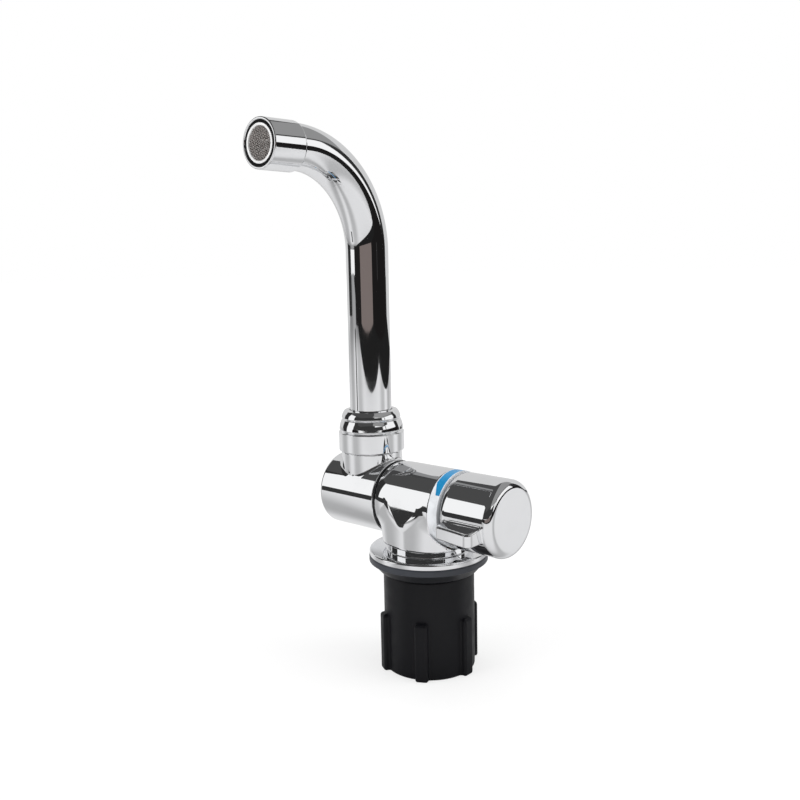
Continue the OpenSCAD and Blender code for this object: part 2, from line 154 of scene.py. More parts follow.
def link(obj: bpy.types.Object) -> bpy.types.Object:
    """Puts an object into the scene and returns it."""
    bpy.context.scene.collection.objects.link(obj)
    return obj


def corner_arc(here: np.ndarray, back: np.ndarray, fore: np.ndarray, radius: float,
               steps: int) -> list[tuple[np.ndarray, np.ndarray]]:
    """Rounds one corner of a section that runs counter-clockwise.

    Args:
        here: The corner.
        back: The way from the corner to the one before it.
        fore: The way from the corner to the one after it.
        radius: The wanted rounding, which short sides cut down.
        steps: Points per quarter turn.

    Returns:
        The arc's points, each with its outward normal.
    """
    reach = SIDE_SHARE * min(np.linalg.norm(back), np.linalg.norm(fore))
    back = back / np.linalg.norm(back)
    fore = fore / np.linalg.norm(fore)
    half = math.acos(float(np.clip(back @ fore, -1.0, 1.0))) / 2
    radius = min(max(radius, LEAST_ROUNDING), reach * math.tan(half))
    sign = 1 if back[0] * fore[1] - back[1] * fore[0] < 0 else -1
    bisector = (back + fore) / np.linalg.norm(back + fore)
    centre = here + bisector * radius / math.sin(half)
    start = here + back * radius / math.tan(half) - centre
    sweep = math.pi - 2 * half
    count = max(2, math.ceil(steps * sweep / (math.pi / 2)))
    arc: list[tuple[np.ndarray, np.ndarray]] = []
    for k in range(count + 1):
        turn = sign * sweep * k / count
        c, s = math.cos(turn), math.sin(turn)
        spoke = np.array([start[0] * c - start[1] * s, start[0] * s + start[1] * c])
        arc.append((centre + spoke, sign * spoke / radius))
    return arc


def rounded(corners: Sequence[Corner], steps: int) -> list[tuple[np.ndarray, np.ndarray]]:
    """Rounds the corners of a closed half section.

    Args:
        corners: Radius, height and rounding of each corner, in order round the section.
        steps: Points per quarter turn of a rounding.

    Returns:
        The points of the section, each with its outward normal, as (radius, height) pairs.
    """
    flat = np.array([c[:2] for c in corners], float)
    ahead = np.roll(flat, -1, axis=0)
    if np.sum(flat[:, 0] * ahead[:, 1] - ahead[:, 0] * flat[:, 1]) < 0:
        corners = list(reversed(corners))
        flat = flat[::-1]
    outline: list[tuple[np.ndarray, np.ndarray]] = []
    for i, (_, _, radius) in enumerate(corners):
        here, after = flat[i], flat[(i + 1) % len(flat)]
        back, fore = flat[i - 1] - here, after - here
        if here[0] > ON_AXIS:
            outline.extend(corner_arc(here, back, fore, radius, steps))
            continue
        run = fore if after[0] > ON_AXIS else -back
        run = run / np.linalg.norm(run)
        outline.append((here, np.array([run[1], -run[0]])))
    return outline


def lathe(corners: Sequence[Corner], axis: Axis, around: int = 160, steps: int = 8) -> Skin:
    """Turns a half section round an axis.

    Args:
        corners: Radius, height and rounding of each corner of the section.
        axis: The axis that the section turns round.
        around: Faces round the axis.
        steps: Points per quarter turn of a rounding.

    Returns:
        The closed surface, in place.
    """
    angles = np.linspace(0.0, 2 * math.pi, around, endpoint=False)
    points: list[np.ndarray] = []
    normals: list[np.ndarray] = []
    rows: list[list[int]] = []
    for (radius, height), (out, up) in rounded(corners, steps):
        first = len(points)
        used = angles if radius > ON_AXIS else angles[:1]
        for angle in used:
            c, s = math.cos(angle), math.sin(angle)
            points.append(np.array([radius * c, radius * s, height]))
            normals.append(np.array([out * c, out * s, up]))
        rows.append([first + (j if len(used) > 1 else 0) for j in range(around)])
    faces: list[list[int]] = []
    for i, row in enumerate(rows):
        above = rows[(i + 1) % len(rows)]
        for j in range(around):
            k = (j + 1) % around
            face = list(dict.fromkeys([row[j], row[k], above[k], above[j]]))
            if len(face) > 2:
                faces.append(face)
    return Skin(np.array(points), faces, np.array(normals)).placed(LAYOUT.placement(axis))


def round_join(a: np.ndarray, b: np.ndarray, radius: Any) -> np.ndarray:
    """Joins two distance fields with a fillet of a radius."""
    corner = np.hypot(np.maximum(radius - a, 0.0), np.maximum(radius - b, 0.0))
    return np.maximum(radius, np.minimum(a, b)) - corner


def round_meet(a: np.ndarray, b: np.ndarray, radius: float) -> np.ndarray:
    """Keeps what two distance fields share, with a rounded edge of a radius."""
    corner = np.hypot(np.maximum(radius + a, 0.0), np.maximum(radius + b, 0.0))
    return np.minimum(-radius, np.maximum(a, b)) + corner


def hollow(solid: np.ndarray, *void: np.ndarray) -> np.ndarray:
    """Takes the space inside all the void fields out of a solid field."""
    return np.maximum(solid, -np.maximum.reduce(void))


@dataclass
class Mould:
    """Meshes a distance field with one point per crossed cell, set exactly on the surface.

    Attributes:
        shape: Signed distance in millimetres at an array of points.
        low: Lowest corner of the shape.
        high: Highest corner of the shape.
        step: Cell size in millimetres.
        under: Cells of room below the lowest corner.
        over: Cells of room past the highest corner.
        nudge: Distance in millimetres that slopes are measured over.
        passes: Times that the points are drawn onto the surface.
        least_slope: Smallest squared slope that a point is drawn by.
    """

    shape: DistanceField
    low: Corner
    high: Corner
    step: float
    under: float = 1.6
    over: float = 2.4
    nudge: float = 0.002
    passes: int = 4
    least_slope: float = 0.2

    def lattice(self) -> np.ndarray:
        """Gives the grid of points over the shape and the room round it."""
        axes = [np.arange(a - self.under * self.step, b + self.over * self.step, self.step)
                for a, b in zip(self.low, self.high)]
        return np.stack(np.meshgrid(*axes, indexing="ij"), axis=-1)

    @staticmethod
    def at_corner(grid: np.ndarray, corner: Cell) -> np.ndarray:
        """Gives the grid's values at one corner of every cell."""
        return grid[tuple(slice(o, o + n - 1) for o, n in zip(corner, grid.shape))]

    def slope(self, at: np.ndarray) -> np.ndarray:
        """Gives the field's gradient.

        Args:
            at: Points in millimetres.

        Returns:
            The gradient at each point.
        """
        nudges = self.nudge * np.eye(3)
        parts = [(self.shape(at + row) - self.shape(at - row)) / (2 * self.nudge) for row in nudges]
        return np.stack(parts, axis=-1)

    def crossings(self, lattice: np.ndarray, value: np.ndarray, crossed: np.ndarray) -> np.ndarray:
        """Finds where the surface runs through each crossed cell.

        Args:
            lattice: The grid of points.
            value: The distance at each of them.
            crossed: Which cells the surface runs through.

        Returns:
            For each crossed cell, the mean of the places where the surface cuts its edges.
        """
        total = np.zeros((int(crossed.sum()), 3))
        hits = np.zeros(len(total))
        edges = [(start, way) for start in CELL_CORNERS for way in range(3) if not start[way]]
        for start, way in edges:
            end = tuple(1 if d == way else o for d, o in enumerate(start))
            va, vb = (self.at_corner(value, c)[crossed] for c in (start, end))
            pa, pb = (self.at_corner(lattice, c)[crossed] for c in (start, end))
            cut = (va < 0) != (vb < 0)
            share = np.where(cut, va / np.where(cut, va - vb, 1.0), 0.0)
            total += np.where(cut[:, None], pa + share[:, None] * (pb - pa), 0.0)
            hits += cut
        return total / hits[:, None]

    def settled(self, points: np.ndarray) -> np.ndarray:
        """Draws points onto the surface, along the field's slope.

        Args:
            points: Points near the surface.

        Returns:
            The points on the surface.
        """
        for _ in range(self.passes):
            gradient = self.slope(points)
            pull = self.shape(points) / np.maximum(np.sum(gradient ** 2, axis=1), self.least_slope)
            points = points - np.clip(pull, -self.step, self.step)[:, None] * gradient
        return points

    @staticmethod
    def quads(value: np.ndarray, number: np.ndarray) -> list[list[int]]:
        """Joins the points of the four cells round each edge that the surface cuts.

        Args:
            value: The distance at each point of the grid.
            number: Each cell's point number.

        Returns:
            The faces by point number, seen from outside counter-clockwise.
        """
        cells = number.shape
        faces: list[np.ndarray] = []
        for way in range(3):
            a, b = [d for d in range(3) if d != way]
            inner = [slice(1, n) for n in cells]
            inner[way] = slice(0, cells[way])
            ahead = list(inner)
            ahead[way] = slice(1, cells[way] + 1)
            near, far = value[tuple(inner)] < 0, value[tuple(ahead)] < 0
            around: list[np.ndarray] = []
            for da, db in ((-1, -1), (0, -1), (0, 0), (-1, 0)):
                pick = list(inner)
                pick[a] = slice(1 + da, cells[a] + da)
                pick[b] = slice(1 + db, cells[b] + db)
                around.append(number[tuple(pick)])
            ring = np.stack(around, axis=-1)
            forward, backward = ring[near & ~far], ring[far & ~near]
            if way == 1:
                forward, backward = backward, forward
            faces.extend((forward, backward[:, ::-1]))
        return np.concatenate(faces).tolist()

    def skin(self) -> Skin:
        """Makes the surface.

        Returns:
            The closed surface with the field's own normals.
        """
        lattice = self.lattice()
        value = self.shape(lattice)
        inside = sum((self.at_corner(value, c) < 0).astype(np.int8) for c in CELL_CORNERS)
        crossed = (inside > 0) & (inside < len(CELL_CORNERS))
        number = np.full(crossed.shape, -1, np.int64)
        number[crossed] = np.arange(int(crossed.sum()))
        points = self.settled(self.crossings(lattice, value, crossed))
        gradient = self.slope(points)
        length = np.linalg.norm(gradient, axis=1, keepdims=True)
        normals = gradient / np.maximum(length, LEAST_LENGTH)
        return Skin(points, self.quads(value, number), normals)


# Shader node helpers and shared groups


class Graph:
    """A node tree with short calls for adding and joining nodes."""

    def __init__(self, tree: bpy.types.NodeTree) -> None:
        """Takes the tree to fill and empties it."""
        self.tree = tree
        self.tree.nodes.clear()

    def add(self, kind: str, settings: dict[str, Any] | None = None, **inputs: Any) -> bpy.types.Node:
        """Adds a node.

        Args:
            kind: The node's type name.
            settings: Properties of the node itself.
            inputs: Values or output sockets for its inputs, by name with spaces as underscores, or by
                number as i0, i1 and so on.

        Returns:
            The new node.
        """
        node = self.tree.nodes.new(kind)
        for key, value in (settings or {}).items():
            setattr(node, key, value)
        for key, value in inputs.items():
            place: int | str = int(key[1:]) if key[0] == "i" and key[1:].isdigit() else key.replace("_", " ")
            self.set(node.inputs[place], value)
        return node

    def set(self, socket: bpy.types.NodeSocket, value: Any) -> None:
        """Gives an input a value, or joins an output to it.

        Args:
            socket: The input.
            value: A plain value, or an output socket.
        """
        if isinstance(value, bpy.types.NodeSocket):
            self.tree.links.new(value, socket)
        else:
            socket.default_value = value

    def math(self, operation: str, *values: Any) -> bpy.types.NodeSocket:
        """Adds a Math node.

        Args:
            operation: The node's operation.
            values: Values or output sockets for its inputs, in order.

        Returns:
            The node's output.
        """
        node = self.add("ShaderNodeMath", {"operation": operation})
        for socket, value in zip(node.inputs, values):
            self.set(socket, value)
        return node.outputs[0]

    def noise(self, place: Any, scale: Any, detail: float = 2.0,
              roughness: float = 0.5) -> bpy.types.NodeSocket:
        """Adds a Noise Texture on a place and returns its value."""
        node = self.add("ShaderNodeTexNoise", Vector=place, Scale=scale, Detail=detail, Roughness=roughness)
        return node.outputs[0]

    def ramp(self, value: Any, low: float, high: float, start: float, end: float) -> bpy.types.NodeSocket:
        """Maps a value smoothly from one span to another.

        Args:
            value: The value to map.
            low: Start of the span that it comes from.
            high: End of that span.
            start: Start of the span that it goes to.
            end: End of that span.

        Returns:
            The mapped value, held within the second span.
        """
        node = self.add("ShaderNodeMapRange", {"interpolation_type": "SMOOTHSTEP"},
                        Value=value, From_Min=low, From_Max=high, To_Min=start, To_Max=end)
        return node.outputs[0]

    def shade(self, colour: Any, amount: Any) -> bpy.types.NodeSocket:
        """Multiplies a colour by an amount.

        Args:
            colour: The colour.
            amount: What each of its channels is multiplied by.

        Returns:
            The shaded colour.
        """
        node = self.add("ShaderNodeVectorMath", {"operation": "SCALE"})
        self.set(node.inputs[0], colour)
        self.set(node.inputs["Scale"], amount)
        return node.outputs[0]


class SurfaceEffect:
    """A shared shader group that gives tone, roughness and height over a surface."""

    name = "effect"
    inputs: dict[str, tuple[str, Any]] = {}

    def group(self) -> bpy.types.NodeTree:
        """Builds the group once.

        Returns:
            The group, new or built before.
        """
        tree = bpy.data.node_groups.get(self.name)
        if tree is not None:
            return tree
        tree = bpy.data.node_groups.new(self.name, "ShaderNodeTree")
        for label, (kind, value) in self.inputs.items():
            socket = tree.interface.new_socket(label, in_out="INPUT", socket_type=kind)
            socket.default_value = value
        tree.interface.new_socket("Colour", in_out="OUTPUT", socket_type="NodeSocketColor")
        tree.interface.new_socket("Roughness", in_out="OUTPUT", socket_type="NodeSocketFloat")
        tree.interface.new_socket("Height", in_out="OUTPUT", socket_type="NodeSocketFloat")
        graph = Graph(tree)
        given = graph.add("NodeGroupInput")
        place = graph.add("ShaderNodeTexCoord").outputs["Object"]
        colour, rough, height = self.effect(graph, given, place)
        graph.add("NodeGroupOutput", Colour=colour, Roughness=rough, Height=height)
        return tree

    def effect(self, graph: Graph, given: bpy.types.Node,
               place: bpy.types.NodeSocket) -> tuple[bpy.types.NodeSocket, ...]:
        """Fills the group.

        Args:
            graph: The group being filled.
            given: Its inputs.
            place: The place on the piece.

        Returns:
            The group's colour, roughness and height.
        """
        raise NotImplementedError


class Plating(SurfaceEffect):
    """Bright plating: a faint long waver of the polish, hazy wipe marks and hair-fine scratches."""

    name = "plating"
    inputs = {
        "Tint": ("NodeSocketColor", (0.9, 0.9, 0.92, 1.0)),
        "Polish": ("NodeSocketFloat", 0.03),
        "Haze": ("NodeSocketFloat", 0.03),
    }

    def effect(self, graph: Graph, given: bpy.types.Node,
               place: bpy.types.NodeSocket) -> tuple[bpy.types.NodeSocket, ...]:
        """Fills the group.

        Args:
            graph: The group being filled.
            given: Its inputs.
            place: The place on the piece.

        Returns:
            The group's colour, roughness and height.
        """
        cloud = graph.noise(place, 70.0, 4.0, 0.6)
        wiped = graph.ramp(cloud, 0.48, 0.72, 0.0, 1.0)
        stretched = graph.add("ShaderNodeMapping", Vector=place, Rotation=(0.5, 0.2, 0.9),
                              Scale=(1.0, 14.0, 14.0))
        hair = graph.ramp(graph.noise(stretched.outputs[0], 420.0, 1.0), 0.66, 0.72, 0.0, 1.0)
        rough = graph.math("MULTIPLY_ADD", wiped, given.outputs["Haze"], given.outputs["Polish"])
        rough = graph.math("MULTIPLY_ADD", hair, 0.02, rough)
        tone = graph.math("MULTIPLY_ADD", wiped, -0.03, 1.0)
        waver = graph.noise(place, 110.0, 1.0)
        height = graph.math("MULTIPLY_ADD", hair, -0.02, waver)
        return graph.shade(given.outputs["Tint"], tone), rough, height


class MouldedGrain(SurfaceEffect):
    """Moulded plastic or rubber: fine spark-eroded grain, slow mottling and a trace of dust."""

    name = "moulded_grain"
    inputs = {
        "Tint": ("NodeSocketColor", (0.5, 0.5, 0.5, 1.0)),
        "Gloss": ("NodeSocketFloat", 0.4),
        "Grain": ("NodeSocketFloat", 1800.0),
        "Dust": ("NodeSocketFloat", 0.02),
    }

    def effect(self, graph: Graph, given: bpy.types.Node,
               place: bpy.types.NodeSocket) -> tuple[bpy.types.NodeSocket, ...]:
        """Fills the group.

        Args:
            graph: The group being filled.
            given: Its inputs.
            place: The place on the piece.

        Returns:
            The group's colour, roughness and height.
        """
        grain = graph.noise(place, given.outputs["Grain"])
        mottle = graph.noise(place, 160.0, 3.0)
        speck = graph.ramp(graph.noise(place, 900.0, 3.0, 0.7), 0.62, 0.8, 0.0, 1.0)
        dust = graph.math("MULTIPLY", speck, given.outputs["Dust"])
        tone = graph.ramp(mottle, 0.3, 0.7, 0.9, 1.08)
        base = graph.shade(given.outputs["Tint"], tone)
        dusty = graph.add("ShaderNodeMix", {"data_type": "RGBA"}, Factor=dust)
        graph.set(dusty.inputs["A"], base)
        graph.set(dusty.inputs["B"], (0.62, 0.6, 0.58, 1.0))
        rough = graph.math("ADD", given.outputs["Gloss"], graph.ramp(mottle, 0.3, 0.7, -0.05, 0.07))
        rough = graph.math("MULTIPLY_ADD", dust, 0.5, rough)
        return dusty.outputs["Result"], rough, grain


class TurnedMarks(SurfaceEffect):
    """Machined metal: fine tool marks across the turning axis, with uneven tarnish."""

    name = "turned_marks"
    inputs = {
        "Tint": ("NodeSocketColor", (0.7, 0.7, 0.7, 1.0)),
        "Gloss": ("NodeSocketFloat", 0.25),
        "Stretch": ("NodeSocketVector", (1.0, 1.0, 40.0)),
        "Tarnish": ("NodeSocketFloat", 0.15),
    }

    def effect(self, graph: Graph, given: bpy.types.Node,
               place: bpy.types.NodeSocket) -> tuple[bpy.types.NodeSocket, ...]:
        """Fills the group.

        Args:
            graph: The group being filled.
            given: Its inputs.
            place: The place on the piece.

        Returns:
            The group's colour, roughness and height.
        """
        drawn = graph.add("ShaderNodeMapping", Vector=place, Scale=given.outputs["Stretch"])
        mark = graph.noise(drawn.outputs[0], 90.0, 3.0, 0.65)
        stain = graph.ramp(graph.noise(place, 130.0, 4.0, 0.6), 0.4, 0.75, 0.0, 1.0)
        dull = graph.math("MULTIPLY", stain, given.outputs["Tarnish"])
        tone = graph.math("SUBTRACT", graph.ramp(mark, 0.3, 0.7, 0.94, 1.04), dull)
        rough = graph.math("ADD", given.outputs["Gloss"], graph.ramp(mark, 0.3, 0.7, -0.04, 0.08))
        rough = graph.math("MULTIPLY_ADD", dull, 0.6, rough)
        return graph.shade(given.outputs["Tint"], tone), rough, mark


# Finishes


@dataclass(frozen=True)
class Finish:
    """One finish of the tap: a shared effect with its own values, on a Principled shader.

    Attributes:
        name: Name of the material.
        effect: The shared effect that varies the surface.
        tint: Colour of the finish.
        values: Other inputs of the effect.
        metallic: 1 for bare metal and plating.
        relief: Depth of the effect's height in metres.
        strength: Strength of the relief.
        coat: Clear gloss over the surface.
        shine: Strength of the plain gloss of a surface that is not metal.
    """

    name: str
    effect: type[SurfaceEffect]
    tint: Colour
    values: tuple[tuple[str, Any], ...]
    metallic: float = 0.0
    relief: float = 0.00001
    strength: float = 0.3
    coat: float = 0.0
    shine: float = 0.5

    def material(self) -> bpy.types.Material:
        """Builds the material once.

        Returns:
            The material, new or built before.
        """
        made = bpy.data.materials.get(self.name)
        if made is not None:
            return made
        made = bpy.data.materials.new(self.name)
        made.use_nodes = True
        graph = Graph(made.node_tree)
        look = graph.add("ShaderNodeGroup", {"node_tree": self.effect().group()}, Tint=(*self.tint, 1.0))
        for label, value in self.values:
            look.inputs[label].default_value = value
        bump = graph.add("ShaderNodeBump", Strength=self.strength, Distance=self.relief,
                         Height=look.outputs["Height"])
        shader = graph.add("ShaderNodeBsdfPrincipled", Base_Color=look.outputs["Colour"],
                           Roughness=look.outputs["Roughness"], Normal=bump.outputs[0])
        shader.inputs["Metallic"].default_value = self.metallic
        shader.inputs["Coat Weight"].default_value = self.coat
        shader.inputs["Specular IOR Level"].default_value = self.shine
        graph.add("ShaderNodeOutputMaterial", Surface=shader.outputs[0])
        return made


CHROME = Finish("chrome_plate", Plating, (0.89, 0.895, 0.905), (("Polish", 0.025), ("Haze", 0.03)),
                metallic=1.0, relief=0.00002, strength=0.12)
BLACK_PLASTIC = Finish("black_nut_plastic", MouldedGrain, (0.0052, 0.0053, 0.0070),
                       (("Gloss", 0.42), ("Grain", 2600.0), ("Dust", 0.008)), relief=0.00004, strength=0.2,
                       shine=0.22)
# The gasket is one rubber in two tints: the ring is lighter for a painted sheen, and the skirt under it is
# darker for painted shade.
GASKET_RUBBER_PAINTED_SHEEN = Finish("gasket_rubber_painted_sheen", MouldedGrain, (0.043, 0.047, 0.057),
                       (("Gloss", 0.38), ("Grain", 3200.0), ("Dust", 0.02)), relief=0.00003,
                       strength=0.2, shine=0.4)
SKIRT_RUBBER_PAINTED_SHADE = Finish("gasket_skirt_rubber_painted_shade", MouldedGrain, (0.011, 0.012, 0.0145),
                      (("Gloss", 0.38), ("Grain", 3200.0), ("Dust", 0.02)), relief=0.00003,
                      strength=0.2, shine=0.35)
SEAL_RUBBER = Finish("seal_rubber", MouldedGrain, (0.005, 0.005, 0.0055),
                     (("Gloss", 0.5), ("Grain", 4000.0), ("Dust", 0.004)), relief=0.00002,
                     strength=0.2, shine=0.15)
SLIP_PLASTIC = Finish("slip_washer_plastic", MouldedGrain, (0.62, 0.60, 0.55),
                      (("Gloss", 0.4), ("Grain", 2600.0), ("Dust", 0.02)), relief=0.00002, strength=0.2)
DARK_WASHER = Finish("dark_washer_plastic", MouldedGrain, (0.012, 0.012, 0.013),
                     (("Gloss", 0.5), ("Grain", 2600.0), ("Dust", 0.01)), relief=0.00002, strength=0.2)
WHITE_PLASTIC = Finish("white_ring_plastic", MouldedGrain, (0.80, 0.82, 0.85),
                       (("Gloss", 0.28), ("Grain", 1500.0), ("Dust", 0.02)), relief=0.00001, strength=0.15,
                       coat=0.2)
BLUE_PLASTIC = Finish("blue_mark_plastic", MouldedGrain, (0.006, 0.235, 0.500),
                      (("Gloss", 0.3), ("Grain", 1500.0), ("Dust", 0.0)), relief=0.00001,
                      strength=0.15, coat=0.2)
INSERT_PLASTIC = Finish("pale_insert_plastic", MouldedGrain, (0.90, 0.90, 0.90),
                        (("Gloss", 0.35), ("Grain", 2000.0), ("Dust", 0.03)), relief=0.00001, strength=0.15)
CERAMIC = Finish("valve_ceramic", MouldedGrain, (0.78, 0.76, 0.70),
                 (("Gloss", 0.15), ("Grain", 5000.0), ("Dust", 0.0)), relief=0.000005, strength=0.1)
BRASS = Finish("turned_brass", TurnedMarks, (0.78, 0.57, 0.27),
               (("Gloss", 0.24), ("Stretch", (1.0, 1.0, 40.0)), ("Tarnish", 0.2)),
               metallic=1.0, relief=0.00002, strength=0.2)
BARREL_BRASS = Finish("turned_brass_barrel", TurnedMarks, (0.78, 0.57, 0.27),
                      (("Gloss", 0.24), ("Stretch", (40.0, 1.0, 1.0)), ("Tarnish", 0.2)),
                      metallic=1.0, relief=0.00002, strength=0.2)
STEEL = Finish("washer_steel", TurnedMarks, (0.60, 0.60, 0.61),
               (("Gloss", 0.3), ("Stretch", (1.0, 1.0, 30.0)), ("Tarnish", 0.12)),
               metallic=1.0, relief=0.00002, strength=0.2)
SCREEN_WIRE = Finish("screen_wire", TurnedMarks, (0.74, 0.69, 0.66),
                     (("Gloss", 0.3), ("Stretch", (1.0, 1.0, 1.0)), ("Tarnish", 0.25)),
                     metallic=1.0, relief=0.000005, strength=0.1)


def dress(obj: bpy.types.Object, finish: Finish) -> bpy.types.Object:
    """Gives an object one finish all over.

    Args:
        obj: The piece.
        finish: Its finish.

    Returns:
        The piece.
    """
    obj.data.materials.clear()
    obj.data.materials.append(finish.material())
    return obj


def mount(obj: bpy.types.Object, body: Body, finish: Finish, slot: str, *nodes: str) -> bpy.types.Object:
    """Finishes a piece, sets it riding on its body and puts it in place of its solids.

    Args:
        obj: The piece, already in place.
        body: The body that it moves with.
        finish: Its finish.
        slot: The record's material slot; not used.
        nodes: The CAD nodes that it stands for.

    Returns:
        The piece.
    """
    dress(obj, finish)
    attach(obj, body.value)
    if nodes:
        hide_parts(*nodes)
    LOG.info("%s rides on %s with %d faces", obj.name, body.value, len(obj.data.polygons))
    return obj


# Pieces that repeat or follow a path


class Recipe:
    """A Geometry Nodes group whose result is kept as a plain mesh."""

    name = "recipe"
    inputs: dict[str, tuple[str, Any]] = {}

    def group(self) -> bpy.types.NodeTree:
        """Builds the group once.

        Returns:
            The group, new or built before.
        """
        tree = bpy.data.node_groups.get(self.name)
        if tree is not None:
            return tree
        tree = bpy.data.node_groups.new(self.name, "GeometryNodeTree")
        for label, (kind, value) in self.inputs.items():
            socket = tree.interface.new_socket(label, in_out="INPUT", socket_type=kind)
            socket.default_value = value
        tree.interface.new_socket("Material", in_out="INPUT", socket_type="NodeSocketMaterial")
        tree.interface.new_socket("Geometry", in_out="OUTPUT", socket_type="NodeSocketGeometry")
        graph = Graph(tree)
        given = graph.add("NodeGroupInput")
        made = self.shape(graph, given)
        made = graph.add("GeometryNodeRealizeInstances", Geometry=made).outputs[0]
        made = graph.add("GeometryNodeSetShadeSmooth", Geometry=made).outputs[0]
        made = graph.add("GeometryNodeSetMaterial", Geometry=made, Material=given.outputs["Material"])
        graph.add("NodeGroupOutput", Geometry=made.outputs[0])
        return tree

    def shape(self, graph: Graph, given: bpy.types.Node) -> bpy.types.NodeSocket:
        """Fills the group.

        Args:
            graph: The group being filled.
            given: Its inputs.

        Returns:
            The group's geometry.
        """
        raise NotImplementedError

    def make(self, name: str, finish: Finish, **values: Any) -> bpy.types.Object:
        """Runs the group and keeps its result.

        Args:
            name: The piece's name.
            finish: Finish that the group sets.
            values: The group's inputs by name, with spaces as underscores.

        Returns:
            The piece as a plain mesh object.
        """
        tree = self.group()
        obj = link(bpy.data.objects.new(name, bpy.data.meshes.new(name)))
        modifier = obj.modifiers.new(self.name, "NODES")
        modifier.node_group = tree
        wanted = {key.replace("_", " "): value for key, value in values.items()}
        wanted["Material"] = finish.material()
        for item in tree.interface.items_tree:
            if item.item_type == "SOCKET" and item.in_out == "INPUT" and item.name in wanted:
                modifier[item.identifier] = wanted[item.name]
        obj.update_tag()
        depsgraph = bpy.context.evaluated_depsgraph_get()
        mesh = bpy.data.meshes.new_from_object(obj.evaluated_get(depsgraph), depsgraph=depsgraph)
        obj.modifiers.remove(modifier)
        obj.data = mesh
        mesh.name = name
        return obj


class ScrewThread(Recipe):
    """A rounded ridge that winds up a round face. Sizes in metres."""

    name = "screw_thread"
    inputs = {
        "Radius": ("NodeSocketFloat", 0.01),
        "Turns": ("NodeSocketFloat", 8.0),
        "Height": ("NodeSocketFloat", 0.02),
        "Start": ("NodeSocketFloat", 0.0),
        "Ridge": ("NodeSocketFloat", 0.0008),
    }

    def shape(self, graph: Graph, given: bpy.types.Node) -> bpy.types.NodeSocket:
        """Fills the group.

        Args:
            graph: The group being filled.
            given: Its inputs.

        Returns:
            The group's geometry.
        """
        values = given.outputs
        spiral = graph.add("GeometryNodeCurveSpiral", Resolution=72, Rotations=values["Turns"],
                           Start_Radius=values["Radius"], End_Radius=values["Radius"],
                           Height=values["Height"])
        ridge = graph.add("GeometryNodeCurvePrimitiveCircle", Resolution=12, Radius=values["Ridge"])
        wound = graph.add("GeometryNodeCurveToMesh", Curve=spiral.outputs[0], Profile_Curve=ridge.outputs[0],
                          Fill_Caps=True)
        place = graph.add("ShaderNodeCombineXYZ", Z=values["Start"])
        return graph.add("GeometryNodeTransform", Geometry=wound.outputs[0],
                         Translation=place.outputs[0]).outputs[0]


